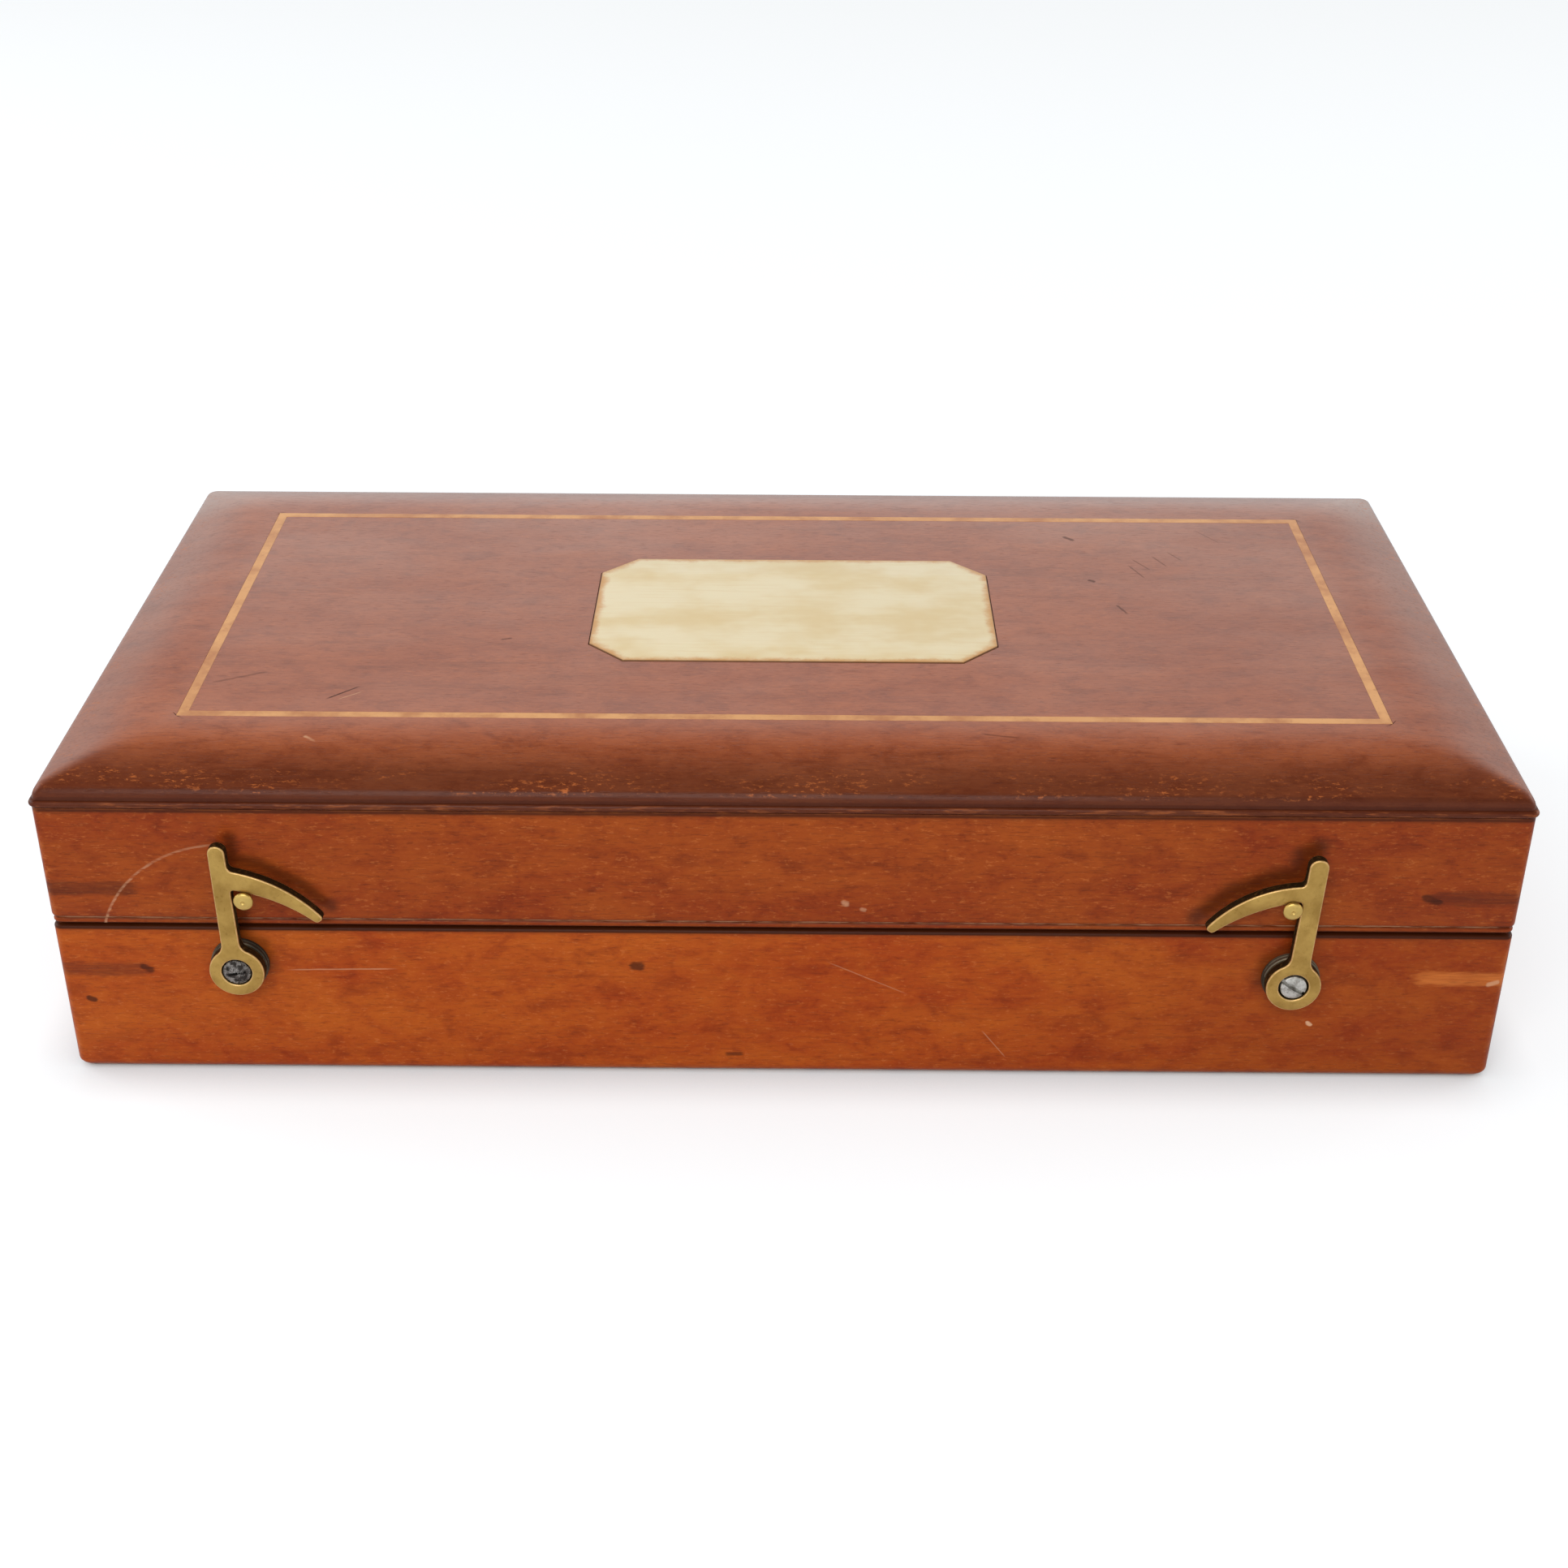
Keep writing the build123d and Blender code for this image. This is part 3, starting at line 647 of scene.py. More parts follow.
@dataclass(frozen=True)
class WornSteel(Finish):
    """Grey screw steel with rust in the pits and bright rubs."""

    name: str
    slot: str
    bright: Paint
    dull: Paint
    seed: float
    pitting: float = 0.0

    def make(self) -> bpy.types.Material:
        """Patches of dull and bright, with small pits; a battered head has more and deeper ones."""
        g = Graph(self.name)
        patch = g.noise((1.1, 1.1, 1.1), self.seed, 4.0, 0.7)
        pit = g.noise((0.36 + 0.3 * self.pitting,) * 3, self.seed + 1, 3.0, 0.6)
        pit = pit.rise(0.60 - 0.14 * self.pitting, 0.70 - 0.14 * self.pitting)
        colour = g.tint(self.dull, self.bright, patch.rise(0.36, 0.62))
        colour = g.tint(colour, Paint(38, 32, 28), pit * (0.6 + 0.3 * self.pitting))
        return g.dress(Base_Color=colour, Metallic=0.85, Roughness=patch * 0.2 + 0.3,
                       Normal=g.bump(patch * (1 - pit), 0.03 + 0.12 * self.pitting))


@dataclass(frozen=True)
class AgedBone(Finish):
    """Cream bone: fine streaks, mottling and a brown stain that creeps in from its edge."""

    name: str
    slot: str
    face: Paint
    warm: Paint
    stain: Paint
    seed: float
    half: Flat
    middle: Flat
    clip: float
    creep: float = 1.5
    rulings: tuple["Ruling", ...] = ()

    def make(self) -> bpy.types.Material:
        """Distance from the clipped outline drives the stain; rulings are filled with dark wax."""
        g = Graph(self.name)
        streak = g.noise((14, 0.6, 2), self.seed, 3.0, 0.6)
        cloud = g.noise((13, 8, 8), self.seed + 1, 3.0, 0.6)
        ragged = g.noise((3.2, 3.2, 3.2), self.seed + 2, 4.0, 0.7)
        across = (g.x - self.middle[0]).size()
        up = (g.y - self.middle[1]).size()
        edge = (self.half[0] - across).least(self.half[1] - up)
        corner = (self.half[0] + self.half[1] - self.clip - (across + up)) * 0.7071
        edge = edge.least(corner)
        colour = g.tint(self.face, self.warm, cloud.rise(0.36, 0.72) * 0.8)
        colour = g.tint(colour, self.warm, streak.rise(0.5, 0.72) * 0.35)
        brown = (edge + (ragged - 0.5) * self.creep * 1.7).rise(self.creep, 0.0)
        colour = g.tint(colour, self.stain, brown * 0.8)
        colour = g.tint(colour, Paint(96, 54, 24), edge.rise(0.22, 0.02) * 0.85)
        for ruling in self.rulings:
            colour = g.tint(colour, Paint(52, 40, 30), ruling.lines(g) * 0.85)
        return g.dress(Base_Color=colour, Roughness=cloud * 0.1 + 0.36, Specular_IOR_Level=0.35,
                       Normal=g.bump(streak, 0.015), Subsurface_Weight=0.08,
                       Subsurface_Radius=(0.0012, 0.0008, 0.0005))


@dataclass(frozen=True)
class Ruling:
    """A run of engraved lines across X at an even pitch."""

    start: float
    pitch: float
    count: int
    low: float
    high: float
    width: float

    def lines(self, g: Graph) -> Field:
        """How much of a line there is at the point.

        Args:
            g: the material's graph.

        Returns:
            1 on a line, 0 off it.
        """
        place = (g.x - self.start) * (1 / self.pitch)
        off = (place - g.math("ROUND", place)).size() * self.pitch
        line = off.rise(self.width, self.width * 0.5)
        ends = place.rise(-0.4, -0.3) * place.rise(self.count + 0.4, self.count + 0.3)
        inside = g.y.rise(self.low - 0.02, self.low) * g.y.rise(self.high + 0.02, self.high)
        return line * ends * inside


@dataclass(frozen=True)
class GiltBrass(Finish):
    """The instrument's gilt brass: bright, softly clouded, with fine handling marks."""

    name: str
    slot: str
    bright: Paint
    cloudy: Paint
    seed: float
    rulings: tuple[Ruling, ...] = ()

    def make(self) -> bpy.types.Material:
        """A thin cloud of tarnish over gilding."""
        g = Graph(self.name)
        cloud = g.noise((7, 7, 7), self.seed, 4.0, 0.6, 0.5)
        speck = g.noise((0.9, 0.9, 0.9), self.seed + 1, 3.0, 0.6).rise(0.60, 0.72)
        turned = g.noise((0.35, 30, 30), self.seed + 2, 2.0)
        colour = g.tint(self.bright, self.cloudy, cloud.rise(0.42, 0.74) * 0.7 + speck * 0.2)
        for ruling in self.rulings:
            colour = g.tint(colour, Paint(44, 32, 18), ruling.lines(g) * 0.9)
        return g.dress(Base_Color=colour, Metallic=0.97, Roughness=cloud * 0.16 + 0.16,
                       Normal=g.bump(turned, 0.006))


@dataclass(frozen=True)
class Velvet(Finish):
    """Short-pile velvet with a soft sheen, pressed here and there."""

    name: str
    slot: str
    pile: Paint
    sheen: Paint
    seed: float

    def make(self) -> bpy.types.Material:
        """Pressed patches, pile noise and a sheen at the rims."""
        g = Graph(self.name)
        pressed = g.noise((15, 11, 11), self.seed, 4.0, 0.6, 0.8)
        pile = g.noise((0.32, 0.32, 0.32), self.seed + 1, 2.0, 0.6)
        colour = g.tint(self.pile, self.sheen, pressed.rise(0.44, 0.78) * 0.5 + pile.rise(0.45, 0.8) * 0.2)
        return g.dress(Base_Color=colour, Roughness=0.95, Normal=g.bump(pile, 0.10, g.bump(pressed, 0.35)),
                       Sheen_Weight=0.55, Sheen_Roughness=0.4, Sheen_Tint=self.sheen.linear(),
                       Specular_IOR_Level=0.1)


@dataclass(frozen=True)
class ClearGlass(Finish):
    """The thermometer's glass."""

    name: str
    slot: str

    def make(self) -> bpy.types.Material:
        """Clear glass with the faint draw lines of a pulled tube."""
        g = Graph(self.name)
        drawn = g.noise((40, 0.5, 0.5), 3.0, 2.0)
        return g.dress(Base_Color=(0.93, 0.97, 0.96, 1.0), Roughness=0.04, Transmission_Weight=1.0, IOR=1.47,
                       Normal=g.bump(drawn, 0.01))


@dataclass(frozen=True)
class CaseSizes:
    """The case's outside and its levels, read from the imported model."""

    half_length: float
    half_width: float
    base_height: float
    lid_floor: float
    panel_floor: float
    lid_top: float
    wall: float
    key_height_base: float
    key_height_lid: float
    key_half: float
    hinge_y: float
    hinge_z: float

    @classmethod
    def from_frame(cls) -> "CaseSizes":
        """Read the sizes from the boards, the keys and the hinge pin."""
        base_low, base_high = extent("base_front")
        keys_low, keys_high = extent("base_corner_keys")
        lid_low, lid_high = extent("lid_front")
        panel = extent("lid_top_panel")
        pin = centre("left_hinge_pin")
        return cls(
            half_length=keys_high.x,
            half_width=-base_low.y,
            base_height=base_high.z,
            lid_floor=lid_low.z,
            panel_floor=lid_high.z,
            lid_top=panel[1].z,
            wall=base_high.y - base_low.y,
            key_height_base=(keys_low.z + keys_high.z) / 2,
            key_height_lid=centre("lid_corner_keys").z,
            key_half=(keys_high.z - keys_low.z) / 2,
            hinge_y=pin.y,
            hinge_z=pin.z,
        )


CASE = CaseSizes.from_frame()
STOP_ANGLE = math.radians(50.5)


def arc(middle: Flat, radius: float, start: float, end: float, steps: int) -> list[Flat]:
    """Points along an arc.

    Args:
        middle: the arc's centre.
        radius: its radius.
        start: its first angle, in degrees.
        end: its last angle, in degrees.
        steps: how many chords it has.

    Returns:
        The points, with both ends.
    """
    turns = [math.radians(start + (end - start) * i / steps) for i in range(steps + 1)]
    return [(middle[0] + radius * math.cos(t), middle[1] + radius * math.sin(t)) for t in turns]


def straight(start: Flat, end: Flat, step: float = 0.12) -> list[Flat]:
    """Points along a straight line, close together."""
    way = Vector(end) - Vector(start)
    count = max(2, math.ceil(way.length / step))
    return [tuple(Vector(start) + way * (i / count)) for i in range(count + 1)]


def bow(start: Flat, middle: Flat, end: Flat, steps: int) -> list[Flat]:
    """Points along the arc through three points.

    Args:
        start: the arc's first point.
        middle: a point on it.
        end: its last point.
        steps: how many chords it has.

    Returns:
        The points, with both ends.
    """
    ax, ay = Vector(middle) - Vector(start)
    bx, by = Vector(end) - Vector(start)
    twice = 2 * (ax * by - ay * bx)
    cx = (by * (ax * ax + ay * ay) - ay * (bx * bx + by * by)) / twice
    cy = (ax * (bx * bx + by * by) - bx * (ax * ax + ay * ay)) / twice
    centre_of = (start[0] + cx, start[1] + cy)
    first = math.degrees(math.atan2(start[1] - centre_of[1], start[0] - centre_of[0]))
    last = math.degrees(math.atan2(end[1] - centre_of[1], end[0] - centre_of[0]))
    turn = (last - first + 180) % 360 - 180
    return arc(centre_of, math.hypot(cx, cy), first, first + turn, steps)


def soft_path(lines: Sequence[Sequence[Flat]], reaches: Sequence[float], steps: int = 6) -> list[Flat]:
    """Join lines into one closed path with softened corners.

    Args:
        lines: the lines in order, each starting where the one before ends.
        reaches: how far each corner is softened; the first is the corner after the first line.
        steps: how many chords a soft corner has.

    Returns:
        The path's points.
    """
    kept = []
    for i, line in enumerate(lines):
        first, last = Vector(line[0]), Vector(line[-1])
        before, after = max(reaches[i - 1], 0.02), max(reaches[i], 0.02)
        kept.append([Vector(p) for p in line
                     if (Vector(p) - first).length > before and (Vector(p) - last).length > after])
    path = []
    for i, points in enumerate(kept):
        following = kept[(i + 1) % len(kept)]
        corner = Vector(lines[i][-1])
        path += points
        for step in range(1, steps):
            t = step / steps
            path.append(points[-1] * (1 - t) ** 2 + corner * 2 * t * (1 - t) + following[0] * t**2)
    return [tuple(point) for point in path]


def finish_mesh(name: str, bm: bmesh.types.BMesh, finish: Finish, smooth: float = 35.0) -> bpy.types.Object:
    """Turn a bmesh in millimetres into a piece in metres.

    Args:
        name: the piece's name.
        bm: its mesh, which is freed.
        finish: its finish.
        smooth: edges sharper than this angle, in degrees, stay sharp.

    Returns:
        The piece.
    """
    bmesh.ops.recalc_face_normals(bm, faces=bm.faces)
    bmesh.ops.scale(bm, vec=(MM, MM, MM), verts=bm.verts)
    limit = math.radians(smooth)
    for face in bm.faces:
        face.smooth = True
    for edge in bm.edges:
        edge.smooth = len(edge.link_faces) == 2 and edge.calc_face_angle(0.0) < limit
    mesh = bpy.data.meshes.new(name)
    bm.to_mesh(mesh)
    bm.free()
    mesh.materials.append(finish.material())
    piece = bpy.data.objects.new(name, mesh)
    bpy.context.scene.collection.objects.link(piece)
    return piece


def place(piece: bpy.types.Object, body: Body, *nodes: str) -> bpy.types.Object:
    """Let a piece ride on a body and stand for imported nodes.

    Args:
        piece: the piece.
        body: what it rides on.
        nodes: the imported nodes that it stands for.

    Returns:
        The piece.
    """
    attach(piece, body.value)
    if nodes:
        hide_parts(*nodes)
    LOG.info("%s rides on %s", piece.name, body.value)
    return piece


def skin(bm: bmesh.types.BMesh, loops: Sequence[Sequence[Point]], closed: bool, caps: bool) -> None:
    """Join a stack of loops that have the same number of points.

    Args:
        bm: the mesh to add to.
        loops: the loops in order.
        closed: whether the last loop joins the first.
        caps: whether the first and last loops are filled.
    """
    rows = [[bm.verts.new(p) for p in loop] for loop in loops]
    pairs = list(zip(rows, rows[1:]))
    if closed:
        pairs.append((rows[-1], rows[0]))
    for low, high in pairs:
        count = len(low)
        for i in range(count):
            j = (i + 1) % count
            bm.faces.new((low[i], low[j], high[j], high[i]))
    if caps:
        bm.faces.new(list(reversed(rows[0])))
        bm.faces.new(rows[-1])


def lathe(bm: bmesh.types.BMesh, profile: Sequence[Flat], frame_of: Matrix, segments: int = 48) -> None:
    """Spin a profile round the Z axis of a frame.

    Args:
        bm: the mesh to add to.
        profile: radius and height pairs; a radius of zero closes the end.
        frame_of: places the turned piece.
        segments: how many sides it has.
    """
    rows = []
    for radius, height in profile:
        if radius < 1e-6:
            rows.append([bm.verts.new(frame_of @ Vector((0, 0, height)))])
            continue
        turns = [math.tau * i / segments for i in range(segments)]
        rows.append([bm.verts.new(frame_of @ Vector((radius * math.cos(t), radius * math.sin(t), height)))
                     for t in turns])
    for low, high in zip(rows, rows[1:]):
        for i in range(segments):
            j = (i + 1) % segments
            corners = [low[i % len(low)], low[j % len(low)], high[j % len(high)], high[i % len(high)]]
            unique = list(dict.fromkeys(corners))
            if len(unique) > 2:
                bm.faces.new(unique)


def aim(origin: Point, direction: Point) -> Matrix:
    """A frame at a point whose Z axis looks along a direction."""
    turn = Vector(direction).to_track_quat("Z", "Y").to_matrix().to_4x4()
    return Matrix.Translation(origin) @ turn


def block(bm: bmesh.types.BMesh, low: Point, high: Point, ease: float, segments: int = 2) -> None:
    """Add a box with eased edges.

    Args:
        bm: the mesh to add to.
        low: its lowest corner.
        high: its highest corner.
        ease: how far its edges are rounded.
        segments: how many facets the rounding has.
    """
    size = Vector(high) - Vector(low)
    middle = (Vector(high) + Vector(low)) / 2
    part = bmesh.new()
    bmesh.ops.create_cube(part, size=1.0, matrix=Matrix.Translation(middle) @ Matrix.Diagonal((*size, 1)))
    if ease:
        bmesh.ops.bevel(part, geom=part.edges[:], offset=ease, segments=segments, profile=0.5,
                        affect="EDGES", clamp_overlap=True)
    add_mesh(bm, part)


def add_mesh(bm: bmesh.types.BMesh, part: bmesh.types.BMesh) -> None:
    """Move everything of one mesh into another and free it."""
    spare = bpy.data.meshes.new("spare")
    part.to_mesh(spare)
    part.free()
    bm.from_mesh(spare)
    bpy.data.meshes.remove(spare)


def carve(bm: bmesh.types.BMesh, cutter: bmesh.types.BMesh) -> bmesh.types.BMesh:
    """Cut one closed mesh out of another; both are freed.

    Args:
        bm: what is cut.
        cutter: what is taken away.

    Returns:
        What is left, as a new mesh.
    """
    made = []
    for part, name in ((bm, "carved"), (cutter, "cutter")):
        bmesh.ops.recalc_face_normals(part, faces=part.faces)
        mesh = bpy.data.meshes.new(name)
        part.to_mesh(mesh)
        part.free()
        spare = bpy.data.objects.new(name, mesh)
        bpy.context.scene.collection.objects.link(spare)
        made.append(spare)
    target, tool = made
    change = target.modifiers.new("cut", "BOOLEAN")
    change.object = tool
    change.operation = "DIFFERENCE"
    change.solver = "EXACT"
    change.use_self = True
    result = bmesh.new()
    result.from_mesh(evaluated_mesh(target))
    for spare in made:
        mesh = spare.data
        bpy.data.objects.remove(spare)
        bpy.data.meshes.remove(mesh)
    return result


def evaluated_mesh(piece: bpy.types.Object) -> bpy.types.Mesh:
    """The mesh of a piece with its modifiers applied."""
    bpy.context.view_layer.update()
    graph = bpy.context.evaluated_depsgraph_get()
    return bpy.data.meshes.new_from_object(piece.evaluated_get(graph))


def plate(outline: Sequence[Flat], holes: Sequence[Sequence[Flat]], thickness: float, ease: float,
          frame_of: Matrix) -> bmesh.types.BMesh:
    """A flat plate with eased edges, cut to an outline.

    Args:
        outline: the outer line.
        holes: the holes' lines.
        thickness: the plate's thickness; it lies evenly about the frame's plane.
        ease: how far its edges are rounded.
        frame_of: places the plate.

    Returns:
        The plate's mesh.
    """
    curve = bpy.data.curves.new("plate", "CURVE")
    curve.dimensions = "2D"
    curve.fill_mode = "BOTH"
    for line in (outline, *holes):
        spline = curve.splines.new("POLY")
        spline.points.add(len(line) - 1)
        for point, (x, y) in zip(spline.points, line):
            point.co = (x, y, 0, 1)
        spline.use_cyclic_u = True
    curve.extrude = thickness / 2 - ease
    curve.bevel_depth = ease
    curve.bevel_resolution = 2
    curve.offset = -ease
    spare = bpy.data.objects.new("plate", curve)
    bpy.context.scene.collection.objects.link(spare)
    mesh = evaluated_mesh(spare)
    bm = bmesh.new()
    bm.from_mesh(mesh)
    bpy.data.objects.remove(spare)
    bpy.data.curves.remove(curve)
    bpy.data.meshes.remove(mesh)
    bmesh.ops.remove_doubles(bm, verts=bm.verts, dist=1e-4)
    bmesh.ops.transform(bm, matrix=frame_of, verts=bm.verts)
    return bm


def rounded_loop(inset: float, height: float, radius: float, overhang: float = 0.0) -> list[Point]:
    """A rounded rectangle that lies inside the case's outline.

    Args:
        inset: how far it lies inside.
        height: its level.
        radius: its corner radius.
        overhang: how far the outline itself stands outside the case.

    Returns:
        Its points, the same number for every loop.
    """
    steps = 6
    half_x = CASE.half_length + overhang - inset
    half_y = CASE.half_width + overhang - inset
    radius = max(radius, 0.02)
    points = []
    for turn, (sx, sy) in enumerate(((1, -1), (1, 1), (-1, 1), (-1, -1))):
        middle = (sx * (half_x - radius), sy * (half_y - radius))
        points += arc(middle, radius, -90 + 90 * turn, 90 * turn, steps)
    return [(x, y, height) for x, y in points]


def inset_section(points: Sequence[tuple[float, float, float]], overhang: float = 0.0) -> list[list[Point]]:
    """Loops for a section given as inset, height and corner radius."""
    return [rounded_loop(inset, height, radius, overhang) for inset, height, radius in points]


def cut_flat(bm: bmesh.types.BMesh, point: Point, normal: Point) -> None:
    """Cut away what lies beyond a plane and close the cut.

    Args:
        bm: the mesh to cut.
        point: a point of the plane.
        normal: points to the side that goes.
    """
    cut = bmesh.ops.bisect_plane(bm, geom=[*bm.verts, *bm.edges, *bm.faces], plane_co=point, plane_no=normal,
                                 clear_outer=True)
    edges = [item for item in cut["geom_cut"] if isinstance(item, bmesh.types.BMEdge)]
    if edges:
        bmesh.ops.holes_fill(bm, edges=edges)


def board_from_ring(ring: bmesh.types.BMesh, name: str, board_is_lid: bool) -> bmesh.types.BMesh:
    """One mitred board, cut out of the ring of four and bevelled at the back for the lid's stop.

    Args:
        ring: the four boards in one.
        name: front, back, left_end or right_end.
        board_is_lid: whether it is the lid's.

    Returns:
        The board.
    """
    hair = 0.015
    board = ring.copy()
    up = 1 if board_is_lid else -1
    cut_flat(board, (0, CASE.hinge_y, CASE.hinge_z), (0, math.sin(STOP_ANGLE), -up * math.cos(STOP_ANGLE)))
    fold = CASE.half_length - CASE.half_width
    if name in ("front", "back"):
        sign = -1 if name == "front" else 1
        for side in (-1, 1):
            cut_flat(board, (side * (fold + hair), 0, 0), (side, -sign, 0))
        cut_flat(board, (0, 0, 0), (0, -sign, 0))
    else:
        sign = -1 if name == "left_end" else 1
        for side in (-1, 1):
            cut_flat(board, (sign * (fold + hair), 0, 0), (-sign, side, 0))
    return board


@dataclass
class CaseBase:
    """The case's base: four mitred boards, the bottom and the four corner keys."""

    body: Body = Body.CASE
    bottom_round: float = 1.7
    corner_round: float = 1.3
    top_round: float = 0.4
    board_floor: float = 5.0
    rebate: float = 4.0
    key_leg: float = 12.6
    key_thickness: float = 1.9

    def ring(self) -> bmesh.types.BMesh:
        """The four boards in one, with the key slots cut."""
        top = CASE.base_height
        wall = CASE.wall
        section = []
        for x, z in arc((self.bottom_round, self.bottom_round), self.bottom_round, 270, 180, 6):
            section.append((x, z, self.corner_round + 0.5 * x))
        for x, z in arc((self.top_round, top - self.top_round), self.top_round, 180, 90, 4):
            section.append((x, z, self.corner_round))
        section += [(wall - 0.3, top, 0.3), (wall, top - 0.3, 0.3), (wall, self.board_floor, 0.3),
                    (self.rebate, self.board_floor, 0.3), (self.rebate, 0, 0.3)]
        bm = bmesh.new()
        skin(bm, inset_section(section), closed=True, caps=False)
        return carve(bm, corner_keys(CASE.key_height_base, self.key_leg, self.key_thickness, 0.2, 1.0))

    def build(self) -> None:
        """Make every piece of the base."""
        ring = self.ring()
        for name in ("front", "back", "left_end", "right_end"):
            board = board_from_ring(ring, name, False)
            if name == "back":
                board = cut_hinge_seat(board, lid=False)
            finish = BASE_WOOD if name in ("front", "back") else BASE_END_WOOD
            place(finish_mesh(f"base_{name}_board", board, finish), self.body, f"base_{name}")
        ring.free()
        bm = bmesh.new()
        low, high = extent("base_bottom")
        block(bm, low, high, 0.4)
        place(finish_mesh("base_bottom_board", bm, BOTTOM_WOOD), self.body, "base_bottom")
        keys = corner_keys(CASE.key_height_base, self.key_leg, self.key_thickness, self.corner_round)
        place(finish_mesh("base_keys", keys, BASE_KEY_WOOD), self.body, "base_corner_keys")


def corner_keys(height: float, leg: float, thickness: float, corner: float,
                reach: float = 0.0) -> bmesh.types.BMesh:
    """The four feather keys at one height, rounded with the case's corners.

    Args:
        height: the middle of the keys.
        leg: how far a key runs along each face.
        thickness: the keys' thickness.
        corner: the radius of the case's corner.
        reach: how far they stand out of the faces, for cutting their slots.

    Returns:
        The keys' mesh.
    """
    bm = bmesh.new()
    leg = leg + 2 * reach
    for sx in (-1, 1):
        for sy in (-1, 1):
            x = CASE.half_length + reach
            y = CASE.half_width + reach
            bend = arc((x - corner, y - corner), corner, 0, 90, 6)
            outline = [(x, y - leg), *bend, (x - leg, y)]
            loops = []
            for z in (height - thickness / 2, height + thickness / 2):
                loops.append([(sx * px, sy * py, z) for px, py in outline])
            skin(bm, loops, closed=False, caps=True)
    return bm


def cut_hinge_seat(board: bmesh.types.BMesh, lid: bool) -> bmesh.types.BMesh:
    """Let the hinges into a back board.

    Args:
        board: the back board.
        lid: whether it is the lid's.

    Returns:
        The board with its recesses.
    """
    up = 1 if lid else -1
    cutter = bmesh.new()
    for side in Side:
        low, high = extent(f"{side.word}_hinge_{'lid' if lid else 'base'}_leaf")
        face = CASE.lid_floor if lid else CASE.base_height
        deep = face + up * 0.8
        block(cutter, (low.x, low.y, min(deep, face - up)), (high.x, CASE.hinge_y, max(deep, face - up)), 0)
        lathe(cutter, [(0, 0), (1.9, 0), (1.9, high.x - low.x + 0.3), (0, high.x - low.x + 0.3)],
              aim((low.x - 0.15, CASE.hinge_y, CASE.hinge_z), (1, 0, 0)), 32)
    return carve(board, cutter)


